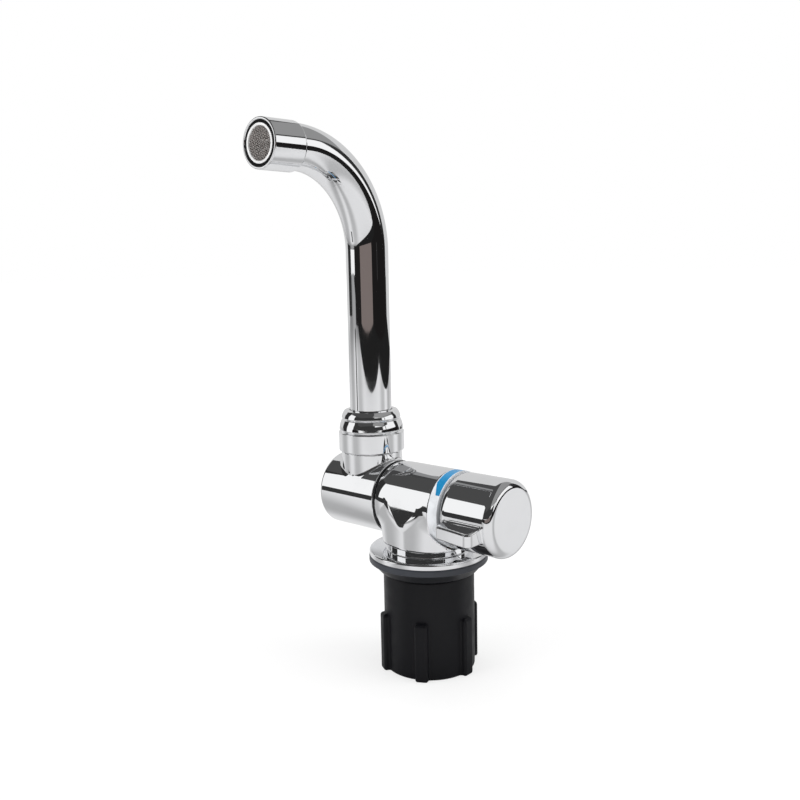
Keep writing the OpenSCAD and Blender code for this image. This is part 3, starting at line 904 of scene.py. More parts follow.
class WovenScreen(Recipe):
    """A round screen of two sets of wires that pass over and under each other. Sizes in metres."""

    name = "woven_screen"
    inputs = {
        "Radius": ("NodeSocketFloat", 0.0064),
        "Pitch": ("NodeSocketFloat", 0.0008),
        "Wire": ("NodeSocketFloat", 0.00015),
        "Place": ("NodeSocketVector", (0.0, 0.0, 0.0)),
        "Turn": ("NodeSocketVector", (0.0, 0.0, 0.0)),
    }
    wires = 17
    steps = 8
    same_place = 1e-5

    def layer(self, graph: Graph, given: bpy.types.Node, along: str) -> bpy.types.NodeSocket:
        """Makes the wires that run one way.

        Args:
            graph: The group being filled.
            given: Its inputs.
            along: X or Y, the way that the wires run.

        Returns:
            The wires as meshes.
        """
        values = given.outputs
        across = "Y" if along == "X" else "X"
        span = graph.math("MULTIPLY", values["Pitch"], float(self.wires - 1))
        many = (self.wires - 1) * self.steps + 1
        counts = {f"Vertices_{along}": many, f"Vertices_{across}": self.wires}
        net = graph.add("GeometryNodeMeshGrid", Size_X=span, Size_Y=span, **counts).outputs[0]
        spot = graph.add("GeometryNodeInputPosition").outputs[0]
        far = graph.add("ShaderNodeVectorMath", {"operation": "LENGTH"})
        graph.set(far.inputs[0], spot)
        outside = graph.math("GREATER_THAN", far.outputs["Value"], values["Radius"])
        net = graph.add("GeometryNodeDeleteGeometry", {"domain": "POINT"}, Geometry=net,
                        Selection=outside).outputs[0]
        edge = graph.add("GeometryNodeInputMeshEdgeVertices")
        gap = graph.add("ShaderNodeVectorMath", {"operation": "SUBTRACT"})
        graph.set(gap.inputs[0], edge.outputs["Position 1"])
        graph.set(gap.inputs[1], edge.outputs["Position 2"])
        parts = graph.add("ShaderNodeSeparateXYZ", Vector=gap.outputs[0])
        sideways = graph.math("ABSOLUTE", parts.outputs[across])
        crossing = graph.math("GREATER_THAN", sideways, self.same_place)
        net = graph.add("GeometryNodeDeleteGeometry", {"domain": "EDGE", "mode": "EDGE_FACE"}, Geometry=net,
                        Selection=crossing).outputs[0]
        flat = graph.add("ShaderNodeSeparateXYZ", Vector=spot)
        phase = graph.math("DIVIDE", graph.math("ADD", flat.outputs["X"], flat.outputs["Y"]), values["Pitch"])
        wave = graph.math("COSINE", graph.math("MULTIPLY", phase, math.pi))
        swing = graph.math("MULTIPLY", values["Wire"], 1.0 if along == "X" else -1.0)
        lift = graph.add("ShaderNodeCombineXYZ", Z=graph.math("MULTIPLY", wave, swing))
        net = graph.add("GeometryNodeSetPosition", Geometry=net, Offset=lift.outputs[0]).outputs[0]
        path = graph.add("GeometryNodeMeshToCurve", Mesh=net).outputs[0]
        wire = graph.add("GeometryNodeCurvePrimitiveCircle", Resolution=6, Radius=values["Wire"])
        return graph.add("GeometryNodeCurveToMesh", Curve=path, Profile_Curve=wire.outputs[0],
                         Fill_Caps=True).outputs[0]

    def shape(self, graph: Graph, given: bpy.types.Node) -> bpy.types.NodeSocket:
        """Fills the group.

        Args:
            graph: The group being filled.
            given: Its inputs.

        Returns:
            The group's geometry.
        """
        both = graph.add("GeometryNodeJoinGeometry")
        for along in "XY":
            graph.tree.links.new(self.layer(graph, given, along), both.inputs[0])
        turn = graph.add("FunctionNodeEulerToRotation", Euler=given.outputs["Turn"])
        return graph.add("GeometryNodeTransform", Geometry=both.outputs[0],
                         Translation=given.outputs["Place"], Rotation=turn.outputs[0]).outputs[0]


class BentTube(Recipe):
    """A tube that rises, bends forward by a quarter turn and runs out level. Sizes in metres."""

    name = "bent_tube"
    inputs = {
        "Radius": ("NodeSocketFloat", 0.009),
        "Wall": ("NodeSocketFloat", 0.0012),
        "Rise": ("NodeSocketFloat", 0.07),
        "Bend": ("NodeSocketFloat", 0.04),
        "Run": ("NodeSocketFloat", 0.01),
        "Foot": ("NodeSocketVector", (0.0, 0.0, 0.0)),
    }
    rings = 181
    around = 128
    same_place = 1e-6

    def shape(self, graph: Graph, given: bpy.types.Node) -> bpy.types.NodeSocket:
        """Fills the group.

        Args:
            graph: The group being filled.
            given: Its inputs.

        Returns:
            The group's geometry.
        """
        values = given.outputs
        straight = graph.math("ADD", values["Rise"], values["Run"])
        length = graph.math("MULTIPLY_ADD", values["Bend"], math.pi / 2, straight)
        tip = graph.add("ShaderNodeCombineXYZ", Z=length).outputs[0]
        line = graph.add("GeometryNodeCurvePrimitiveLine", End=tip).outputs[0]
        line = graph.add("GeometryNodeResampleCurve", Curve=line, Count=self.rings).outputs[0]
        spot = graph.add("GeometryNodeInputPosition").outputs[0]
        gone = graph.add("ShaderNodeSeparateXYZ", Vector=spot).outputs["Z"]
        past = graph.math("MAXIMUM", graph.math("SUBTRACT", gone, values["Rise"]), 0.0)
        angle = graph.math("MINIMUM", graph.math("DIVIDE", past, values["Bend"]), math.pi / 2)
        level = graph.math("SUBTRACT", past, graph.math("MULTIPLY", angle, values["Bend"]))
        height = graph.math("MULTIPLY_ADD", graph.math("SINE", angle), values["Bend"],
                            graph.math("MINIMUM", gone, values["Rise"]))
        lean = graph.math("SUBTRACT", graph.math("COSINE", angle), 1.0)
        front = graph.math("SUBTRACT", graph.math("MULTIPLY", lean, values["Bend"]), level)
        bent = graph.add("ShaderNodeCombineXYZ", Y=front, Z=height).outputs[0]
        path = graph.add("GeometryNodeSetPosition", Geometry=line, Position=bent,
                         Offset=values["Foot"]).outputs[0]
        ring = graph.add("GeometryNodeCurvePrimitiveCircle", Resolution=self.around, Radius=values["Radius"])
        outside = graph.add("GeometryNodeCurveToMesh", Curve=path, Profile_Curve=ring.outputs[0]).outputs[0]
        inward = graph.math("MULTIPLY", values["Wall"], -1.0)
        inside = graph.add("GeometryNodeExtrudeMesh", Mesh=outside, Offset_Scale=inward,
                           Individual=False).outputs[0]
        inside = graph.add("GeometryNodeFlipFaces", Mesh=inside).outputs[0]
        both = graph.add("GeometryNodeJoinGeometry")
        for wall in (outside, inside):
            graph.tree.links.new(wall, both.inputs[0])
        return graph.add("GeometryNodeMergeByDistance", Geometry=both.outputs[0],
                         Distance=self.same_place).outputs[0]


# Sub-assemblies


@dataclass
class ValveBody:
    """The fixed casting: level barrel, keeled front and flared foot. Sizes in millimetres, angles in degrees.

    On each face a wide cheek leaves the barrel at its tangent and meets two flanks, which part at a keel.
    """

    barrel_r: float = 15.9
    left: float = -16.7
    left_round: float = 0.6
    droop: float = 0.024
    droop_w: float = 5.6
    shoulder: float = 13.0
    shoulder_round: float = 0.4
    ring_gap: float = 0.6
    boss_r: float = 13.8
    boss_end: float = 17.4
    boss_root: float = 1.0
    foot_r: float = 19.0
    foot_z: float = 11.6
    foot_round: float = 0.5
    taper: float = 0.1
    cheek_r: float = 140.0
    tangent: float = 15.3
    front_y: float = 18.3
    keel_x: float = 1.5
    keel_round: float = 1.0
    flank_left: float = 0.132
    flank_right: float = 0.17
    brow_round: float = 0.25
    side_round: float = 3.0
    fillet_start: float = 12.0
    fillet_growth: float = 14.0
    fillet_least: float = 0.02
    fillet_most: float = 1.5
    valve_bore_r: float = 12.0
    valve_bore_x: float = -4.0
    stud_bore_r: float = 8.0
    stud_bore_x: float = -6.0
    flare_room: float = 1.0
    step: float = 0.42

    def post(self, x: np.ndarray, y: np.ndarray, z: np.ndarray, droop: np.ndarray) -> np.ndarray:
        """Gives the signed distance to the post under the barrel.

        Args:
            x: Places along the barrel.
            y: Places across it.
            z: Heights above its axis.
            droop: How far the left end is rolled in.

        Returns:
            The distance at each point, negative inside.
        """
        drop = LAYOUT.barrel_z - self.foot_z
        lean = math.radians(self.tangent)
        reach = self.cheek_r - self.barrel_r
        cheek = np.hypot(np.abs(y) + reach * math.cos(lean), z + reach * math.sin(lean))
        cheek = cheek - self.cheek_r + droop
        flank = np.where(x < self.keel_x, self.flank_left, self.flank_right)
        keel = np.abs(y) - self.front_y + flank * np.hypot(x - self.keel_x, self.keel_round)
        side = (np.hypot(x, y) - self.foot_r - self.taper * (z + drop)) / math.hypot(1.0, self.taper)
        post = round_meet(round_meet(cheek, keel, self.brow_round), side, self.side_round)
        above = z * math.cos(lean) > np.abs(y) * math.sin(lean)
        return np.where(above, np.maximum(post, np.hypot(y, z) - self.barrel_r + droop), post)

    def distance(self, p: np.ndarray) -> np.ndarray:
        """Gives the signed distance to the casting.

        Args:
            p: Points in millimetres.

        Returns:
            The distance at each point, negative inside.
        """
        x, y, z = p[..., 0], p[..., 1], p[..., 2] - LAYOUT.barrel_z
        ring = np.hypot(y, z)
        droop = self.droop * np.maximum(self.left + self.droop_w - x, 0.0) ** 2
        under = np.degrees(np.arctan2(z, np.abs(y)))
        fillet = np.clip((self.tangent - self.fillet_start - under) / self.fillet_growth,
                         self.fillet_least, self.fillet_most)
        solid = round_join(ring - self.barrel_r + droop, self.post(x, y, z, droop), fillet)
        past = np.minimum(x - self.shoulder, self.barrel_r + self.ring_gap - ring)
        solid = round_meet(solid, past, self.shoulder_round)
        solid = round_meet(solid, self.left - x, self.left_round)
        solid = round_meet(solid, self.foot_z - LAYOUT.barrel_z - z, self.foot_round)
        boss = np.maximum.reduce((ring - self.boss_r, x - self.boss_end, self.shoulder - self.boss_root - x))
        solid = np.minimum(solid, boss)
        solid = hollow(solid, ring - self.valve_bore_r, self.valve_bore_x - x)
        return hollow(solid, ring - self.stud_bore_r, x - self.stud_bore_x)

    def build(self) -> None:
        """Makes the casting."""
        low = (self.left, -self.front_y, self.foot_z)
        high = (self.foot_r + self.flare_room, self.front_y, LAYOUT.barrel_z + self.barrel_r)
        casting = Mould(self.distance, low, high, self.step).skin().to_object("valve_body_casting")
        mount(casting, Body.BASE, CHROME, "chrome", "valve_body")


@dataclass
class BaseFlange:
    """The chrome disc on the worktop and the rubber gasket under it. Sizes in millimetres."""

    bore_r: float = 15.0
    rim_r: float = 24.8
    low_z: float = 6.5
    high_z: float = 9.0
    seat_r: float = 17.3
    seat_z: float = 11.6
    gasket_bore_r: float = 15.15
    gasket_r: float = 25.0
    gasket_z: float = 3.9
    skirt_r: float = 23.9
    skirt_edge: float = 0.3
    skirt_foot_r: float = 20.7
    recess_r: float = 19.75
    recess_z: float = 1.2
    around: int = 224
    steps: int = 12

    def turned(self, name: str, corners: Sequence[Corner]) -> bpy.types.Object:
        """Turns an outline round the column and returns the piece."""
        return lathe(corners, Axis.COLUMN, self.around, self.steps).to_object(name)

    def build(self) -> None:
        """Makes the disc, the gasket's skirt and its ring."""
        disc = self.turned("base_flange_disc", [
            (self.bore_r, self.low_z, 0.1), (self.rim_r, self.low_z, 0.4),
            (self.rim_r, self.high_z, 0.8), (self.seat_r, self.high_z, 0.5),
            (self.seat_r, self.seat_z, 0.1), (self.bore_r, self.seat_z, 0.1)])
        mount(disc, Body.BASE, CHROME, "chrome", "base_flange")
        # The skirt takes the darker tint of the gasket's rubber: painted shade.
        skirt = self.turned("base_gasket_skirt", [
            (self.recess_r, 0.0, 0.15), (self.skirt_foot_r, 0.0, 0.3),
            (self.skirt_r, self.gasket_z - self.skirt_edge, 0.2), (self.skirt_r, self.gasket_z, 0.05),
            (self.gasket_bore_r, self.gasket_z, 0.1), (self.gasket_bore_r, self.recess_z, 0.1),
            (self.recess_r, self.recess_z, 0.1)])
        mount(skirt, Body.BASE, SKIRT_RUBBER_PAINTED_SHADE, "rubber")
        # The ring takes the lighter tint of the gasket's rubber: a painted sheen.
        ring = self.turned("base_gasket_ring", [
            (self.gasket_bore_r, self.gasket_z, 0.1), (self.gasket_r, self.gasket_z, 0.3),
            (self.gasket_r, self.low_z, 0.5), (self.gasket_bore_r, self.low_z, 0.1)])
        mount(ring, Body.BASE, GASKET_RUBBER_PAINTED_SHEEN, "rubber", "base_gasket")


@dataclass
class Elbow:
    """The folding elbow with its neck and end cap. Sizes in millimetres."""

    barrel_r: float = 15.9
    right: float = -17.35
    right_round: float = 0.35
    far: float = -48.8
    far_round: float = 1.0
    neck_r: float = 13.2
    neck_top: float = 46.9
    neck_round: float = 0.3
    fillet: float = 0.8
    spigot_r: float = 11.25
    spigot_top: float = 58.7
    stud_bore_r: float = 10.0
    stud_wall: float = 1.0
    cap_r: float = 13.45
    cap_t: float = 1.7
    cap_seat_r: float = 13.5
    cap_seat_t: float = 1.8
    tube_bore_r: float = 9.05
    tube_bore_z: float = 12.7
    step: float = 0.42

    def distance(self, p: np.ndarray) -> np.ndarray:
        """Gives the signed distance to the elbow.

        Args:
            p: Points in millimetres.

        Returns:
            The distance at each point, negative inside.
        """
        x, y, z = p[..., 0], p[..., 1], p[..., 2] - LAYOUT.barrel_z
        ring, spread = np.hypot(y, z), np.hypot(x - LAYOUT.spout_x, y)
        barrel = round_meet(ring - self.barrel_r, x - self.right, self.right_round)
        barrel = round_meet(barrel, self.far - x, self.far_round)
        neck = round_meet(spread - self.neck_r, z - (self.neck_top - LAYOUT.barrel_z), self.neck_round)
        solid = round_join(barrel, np.maximum(neck, -z), self.fillet)
        spigot = np.maximum.reduce((spread - self.spigot_r, z - (self.spigot_top - LAYOUT.barrel_z), -z))
        solid = np.minimum(solid, spigot)
        solid = hollow(solid, ring - self.stud_bore_r, self.far + self.stud_wall - x)
        solid = hollow(solid, ring - self.cap_seat_r, x - self.far - self.cap_seat_t)
        return hollow(solid, spread - self.tube_bore_r, self.tube_bore_z - z)

    def build(self) -> None:
        """Makes the elbow and its cap."""
        low = (self.far, -self.barrel_r, LAYOUT.barrel_z - self.barrel_r)
        high = (self.right, self.barrel_r, self.spigot_top)
        casting = Mould(self.distance, low, high, self.step).skin().to_object("swivel_elbow_casting")
        mount(casting, Body.ELBOW, CHROME, "chrome", "swivel_elbow")
        inner = self.far + self.cap_t
        cap = lathe([(0.0, inner, 0.0), (self.cap_r, inner, 0.1),
                     (self.cap_r, self.far, 0.3), (0.0, self.far, 0.0)], Axis.BARREL)
        mount(cap.to_object("elbow_cap_disc"), Body.ELBOW, CHROME, "chrome", "elbow_cap")


@dataclass
class CollarNut:
    """The nut on the elbow's neck: a plain skirt and two beads, each over a groove. Sizes in millimetres.

    A bead's corners run from the bottom of its groove to its top, as radius, height and rounding.
    """

    foot_z: float = 47.0
    skirt_r: float = 14.2
    skirt_top: float = 55.2
    lower_bead: tuple[Corner, ...] = (
        (13.4, 55.7, 0.15), (13.4, 56.2, 0.15), (13.95, 56.3, 0.3), (13.6, 58.6, 11.0), (12.75, 60.7, 0.5))
    upper_bead: tuple[Corner, ...] = (
        (12.1, 60.9, 0.1), (12.1, 61.2, 0.1), (12.85, 61.3, 0.3), (12.5, 63.0, 6.0), (11.5, 64.6, 0.5))
    top_z: float = 64.8
    tube_r: float = 9.3
    seat_r: float = 11.8
    seat_z: float = 62.2
    thread_r: float = 11.28
    thread_top: float = 58.7
    around: int = 192
    steps: int = 16

    def build(self) -> None:
        """Makes the nut."""
        outline = [(self.thread_r, self.foot_z, 0.2), (self.skirt_r, self.foot_z, 0.5),
                   (self.skirt_r, self.skirt_top, 0.5), *self.lower_bead, *self.upper_bead,
                   (self.tube_r, self.top_z, 0.2), (self.tube_r, self.seat_z, 0.1),
                   (self.seat_r, self.seat_z, 0.1), (self.seat_r, self.thread_top, 0.1),
                   (self.thread_r, self.thread_top, 0.1)]
        nut = lathe(outline, Axis.SPOUT, self.around, self.steps)
        mount(nut.to_object("collar_nut_turned"), Body.ELBOW, CHROME, "chrome", "collar_nut")


@dataclass
class Spout:
    """The bent tube and its outlet. Sizes in millimetres, along the outlet from the tap's column."""

    tube_r: float = 9.0
    bore_r: float = 7.8
    foot_z: float = 61.5
    bend_r: float = 39.7
    tube_end: float = 50.1
    face: float = 56.7
    face_r: float = 9.62
    cap_r: float = 9.75
    cap_l: float = 16.0
    heel_r: float = 9.15
    heel_l: float = 0.9
    grip_r: float = 9.02
    grip_end: float = 50.15
    mouth_r: float = 8.55
    seal_r: float = 8.52
    seal_bore_r: float = 7.4
    seal_foot: float = 50.2
    seal_inset: float = 0.3
    around: int = 192

    def build(self) -> None:
        """Makes the tube, the aerator housing and its seal."""
        rise = LAYOUT.outlet_z - self.bend_r - self.foot_z
        tube = BentTube().make("spout_tube_bent", CHROME, Radius=self.tube_r * MM,
                               Wall=(self.tube_r - self.bore_r) * MM, Rise=rise * MM, Bend=self.bend_r * MM,
                               Run=(self.tube_end - self.bend_r) * MM,
                               Foot=(LAYOUT.spout_x * MM, 0.0, self.foot_z * MM))
        mount(tube, Body.SPOUT, CHROME, "chrome", "spout_tube")
        heel = self.face - self.cap_l
        housing = lathe([(self.grip_r, heel, 0.05), (self.heel_r, heel, 0.05),
                         (self.cap_r, heel + self.heel_l, 0.5),
                         (self.face_r, self.face, 0.5), (self.mouth_r, self.face, 0.4),
                         (self.mouth_r, self.grip_end, 0.1), (self.grip_r, self.grip_end, 0.05)],
                        Axis.OUTLET, self.around)
        mount(housing.to_object("aerator_housing_turned"), Body.SPOUT, CHROME, "chrome", "aerator_housing")
        rim = self.face - self.seal_inset
        seal = lathe([(self.seal_bore_r, self.seal_foot, 0.1), (self.seal_r, self.seal_foot, 0.1),
                      (self.seal_r, rim, 0.1), (self.seal_bore_r, rim, 0.15)], Axis.OUTLET)
        mount(seal.to_object("aerator_seal_ring"), Body.SPOUT, SEAL_RUBBER, "rubber", "aerator_seal")


@dataclass
class Knob:
    """The control knob with its finger lever. Sizes in millimetres, angles in degrees."""

    drum_r: float = 15.7
    near: float = 18.5
    near_round: float = 0.3
    end: float = 43.0
    end_round: float = 3.5
    lip_w: float = 1.5
    lip_drop: float = 0.6
    lip_round: float = 0.4
    bore_r: float = 13.2
    end_t: float = 7.0
    screw_r: float = 2.05
    screw_x: float = 10.0
    lever_x: float = 20.4
    lever_w: float = 18.6
    lever_root: float = 0.6
    reach: float = 23.3
    slant: float = 2.6
    tip_round: float = 3.0
    top_z: float = -0.15
    top_fall: float = 9.0
    top_round: float = 1.5
    near_plane: Corner = (-0.1257, -0.3868, 0.9135)
    near_plane_z: float = 0.7
    edge_round: float = 0.8
    side_round: float = 1.6
    thick: float = 6.6
    under_round: float = 1.0
    step: float = 0.4

    def lever(self, x: np.ndarray, y: np.ndarray, z: np.ndarray) -> np.ndarray:
        """Gives the signed distance to the finger lever.

        Args:
            x: Places along the knob's axis.
            y: Places across, negative to the front.
            z: Heights above the knob's axis.

        Returns:
            The distance at each point, negative inside.
        """
        along, out = x - self.lever_x, y + self.drum_r
        slope = self.slant / (self.lever_w - self.tip_round)
        front = (-y - self.reach + self.slant - slope * along) / math.hypot(1.0, slope)
        plan = round_meet(front, x - self.lever_x - self.lever_w, self.tip_round)
        fall = math.radians(self.top_fall)
        main = (z - self.top_z) * math.cos(fall) - out * math.sin(fall)
        to_right, to_back, up = self.near_plane
        near = to_right * along + to_back * out + up * (z - self.near_plane_z)
        top = round_meet(main, near, self.top_round)
        solid = round_meet(round_meet(plan, top, self.edge_round), self.lever_x - x, self.side_round)
        return np.maximum(round_meet(solid, self.top_z - self.thick - z, self.under_round), y)

    def distance(self, p: np.ndarray) -> np.ndarray:
        """Gives the signed distance to the knob.

        Args:
            p: Points in millimetres.

        Returns:
            The distance at each point, negative inside.
        """
        x, y, z = p[..., 0], p[..., 1], p[..., 2] - LAYOUT.barrel_z
        ring = np.hypot(y, z)
        drum = round_meet(ring - self.drum_r, x - self.end, self.end_round)
        lean = math.atan2(self.lip_drop, self.lip_w)
        lip = (ring - self.drum_r + self.lip_drop) * math.cos(lean) - (x - self.near) * math.sin(lean)
        drum = round_meet(round_meet(drum, lip, self.lip_round), self.near - x, self.near_round)
        solid = round_join(drum, self.lever(x, y, z), self.lever_root)
        solid = hollow(solid, ring - self.bore_r, x - self.end + self.end_t)
        return hollow(solid, np.hypot(x - self.near - self.screw_x, y) - self.screw_r, z)

    def build(self) -> None:
        """Makes the knob."""
        low = (self.near, -self.reach, LAYOUT.barrel_z - self.drum_r)
        high = (self.end, self.drum_r, LAYOUT.barrel_z + self.drum_r)
        casting = Mould(self.distance, low, high, self.step).skin().to_object("control_knob_casting")
        mount(casting, Body.KNOB, CHROME, "chrome", "control_knob")


@dataclass
class ClampNut:
    """The deep black nut under the worktop, with rounded grip ribs. Sizes in millimetres."""

    radius: float = 19.15
    top: float = -0.55
    top_round: float = 0.7
    bottom: float = -42.3
    bottom_round: float = 0.8
    ribs: int = 6
    rib_r: float = 21.3
    rib_w: float = 5.4
    rib_round: float = 1.1
    rib_depth: float = 3.0
    rib_top: float = -17.6
    rib_top_round: float = 1.4
    rib_root: float = 0.7
    bore_r: float = 15.0
    hollow_r: float = 17.15
    hollow_top: float = -22.0
    step: float = 0.55

    def distance(self, p: np.ndarray) -> np.ndarray:
        """Gives the signed distance to the nut.

        Args:
            p: Points in millimetres.

        Returns:
            The distance at each point, negative inside.
        """
        x, y, z = p[..., 0], p[..., 1], p[..., 2]
        spread = np.hypot(x, y)
        share = 2 * math.pi / self.ribs
        turn = np.mod(np.arctan2(y, x) + share / 2, share) - share / 2
        out, across = spread * np.cos(turn), np.abs(spread * np.sin(turn))
        rib = round_meet(across - self.rib_w / 2, out - self.rib_r, self.rib_round)
        rib = np.maximum(rib, self.radius - self.rib_depth - out)
        rib = round_meet(rib, z - self.rib_top, self.rib_top_round)
        drum = round_meet(spread - self.radius, z - self.top, self.top_round)
        solid = round_meet(round_join(drum, rib, self.rib_root), self.bottom - z, self.bottom_round)
        solid = hollow(solid, spread - self.bore_r)
        return hollow(solid, spread - self.hollow_r, z - self.hollow_top)

    def build(self) -> None:
        """Makes the nut."""
        low = (-self.rib_r, -self.rib_r, self.bottom)
        high = (self.rib_r, self.rib_r, self.top)
        casting = Mould(self.distance, low, high, self.step).skin().to_object("clamp_nut_moulding")
        mount(casting, Body.NUT, BLACK_PLASTIC, "black_plastic", "clamp_nut")


@dataclass
class Shank:
    """The threaded shank through the worktop, with the inlet's thread in its end. Sizes in millimetres."""

    radius: float = 14.95
    ridge: float = 0.8
    core_depth: float = 1.3
    pitch: float = 2.5
    bottom: float = -34.0
    thread_start: float = 1.0
    thread_l: float = 34.0
    neck_z: float = 2.0
    collar_z: float = 2.8
    seat_z: float = 11.6
    spigot_r: float = 11.95
    top_z: float = 15.0
    bore_r: float = 6.0
    inlet_r: float = 8.3
    inlet_top: float = -22.0
    inlet_ridge: float = 0.5
    inlet_depth: float = 0.1
    inlet_pitch: float = 1.8
    inlet_start: float = 0.9
    inlet_l: float = 9.9

    def build(self) -> None:
        """Makes the core and both threads."""
        core_r = self.radius - self.core_depth * self.ridge
        core = lathe([(self.inlet_r, self.bottom, 0.4), (core_r, self.bottom, 0.8),
                      (core_r, self.neck_z, 0.3), (self.radius, self.collar_z, 0.2),
                      (self.radius, self.seat_z, 0.1), (self.spigot_r, self.seat_z, 0.1),
                      (self.spigot_r, self.top_z, 0.3), (self.bore_r, self.top_z, 0.2),
                      (self.bore_r, self.inlet_top, 0.2), (self.inlet_r, self.inlet_top, 0.2)], Axis.COLUMN)
        mount(core.to_object("threaded_shank_core"), Body.BASE, BRASS, "brass", "threaded_shank")
        outer = ScrewThread().make("shank_thread", BRASS, Radius=(self.radius - self.ridge) * MM,
                                   Turns=self.thread_l / self.pitch, Height=self.thread_l * MM,
                                   Start=(self.bottom + self.thread_start) * MM, Ridge=self.ridge * MM)
        mount(outer, Body.BASE, BRASS, "brass")
        inner = ScrewThread().make("inlet_thread", BRASS, Radius=(self.inlet_r - self.inlet_depth) * MM,
                                   Turns=self.inlet_l / self.inlet_pitch, Height=self.inlet_l * MM,
                                   Start=(self.bottom + self.inlet_start) * MM, Ridge=self.inlet_ridge * MM)
        mount(inner, Body.BASE, BRASS, "brass")


@dataclass
class OutletScreen:
    """The woven screen in the outlet. Sizes in millimetres, the turn in degrees."""

    radius: float = 6.45
    front: float = 55.85
    turn: float = 25.0

    def build(self) -> None:
        """Makes the screen."""
        screen = WovenScreen().make("aerator_screen_weave", SCREEN_WIRE, Radius=self.radius * MM,
                                    Place=(LAYOUT.spout_x * MM, -self.front * MM, LAYOUT.outlet_z * MM),
                                    Turn=(math.radians(90), math.radians(self.turn), 0.0))
        mount(screen, Body.SPOUT, SCREEN_WIRE, "screen_steel", "aerator_screen")


class InnerParts:
    """The solids that stay as the frame has them, each with its own finish."""

    finishes: dict[str, Finish] = {
        "pivot_stud": BARREL_BRASS, "stud_seals": SEAL_RUBBER,
        "fold_washer": DARK_WASHER, "fold_stop_pin": STEEL, "stud_retainer": STEEL, "stud_screw": STEEL,
        "cartridge_body": BARREL_BRASS, "cartridge_seal": SEAL_RUBBER, "seat_seal": SEAL_RUBBER,
        "fixed_disc": CERAMIC, "moving_disc": CERAMIC, "gland_nut": BARREL_BRASS,
        "index_ring": WHITE_PLASTIC, "index_marker": BLUE_PLASTIC, "slip_washer": SLIP_PLASTIC,
        "spout_ferrule": BRASS, "spout_seals": SEAL_RUBBER, "aerator_insert": INSERT_PLASTIC,
        "knob_adapter": SLIP_PLASTIC, "valve_spindle": BARREL_BRASS, "knob_screw": STEEL, "nut_washer": STEEL,
    }

    def build(self) -> None:
        """Dresses the solids."""
        for name, finish in self.finishes.items():
            dress(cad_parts[name], finish)
            LOG.info("%s keeps its solid with %s", name, finish.name)


# Stage


def grey(value: float) -> Colour:
    """Gives a tone without colour."""
    return value, value, value


@dataclass(frozen=True)
class Wall:
    """One upright card of the tent, as seen from the tap.

    Attributes:
        name: Name of the card.
        start: Its left edge in degrees from the camera's direction.
        end: Its right edge likewise.
        reach: Distance of its edges from the tap in metres.
        low: Height of its lower edge in metres.
        high: Height of its upper edge in metres.
        tone: How bright it looks.
    """

    name: str
    start: float
    end: float
    reach: float
    low: float
    high: float
    tone: Colour


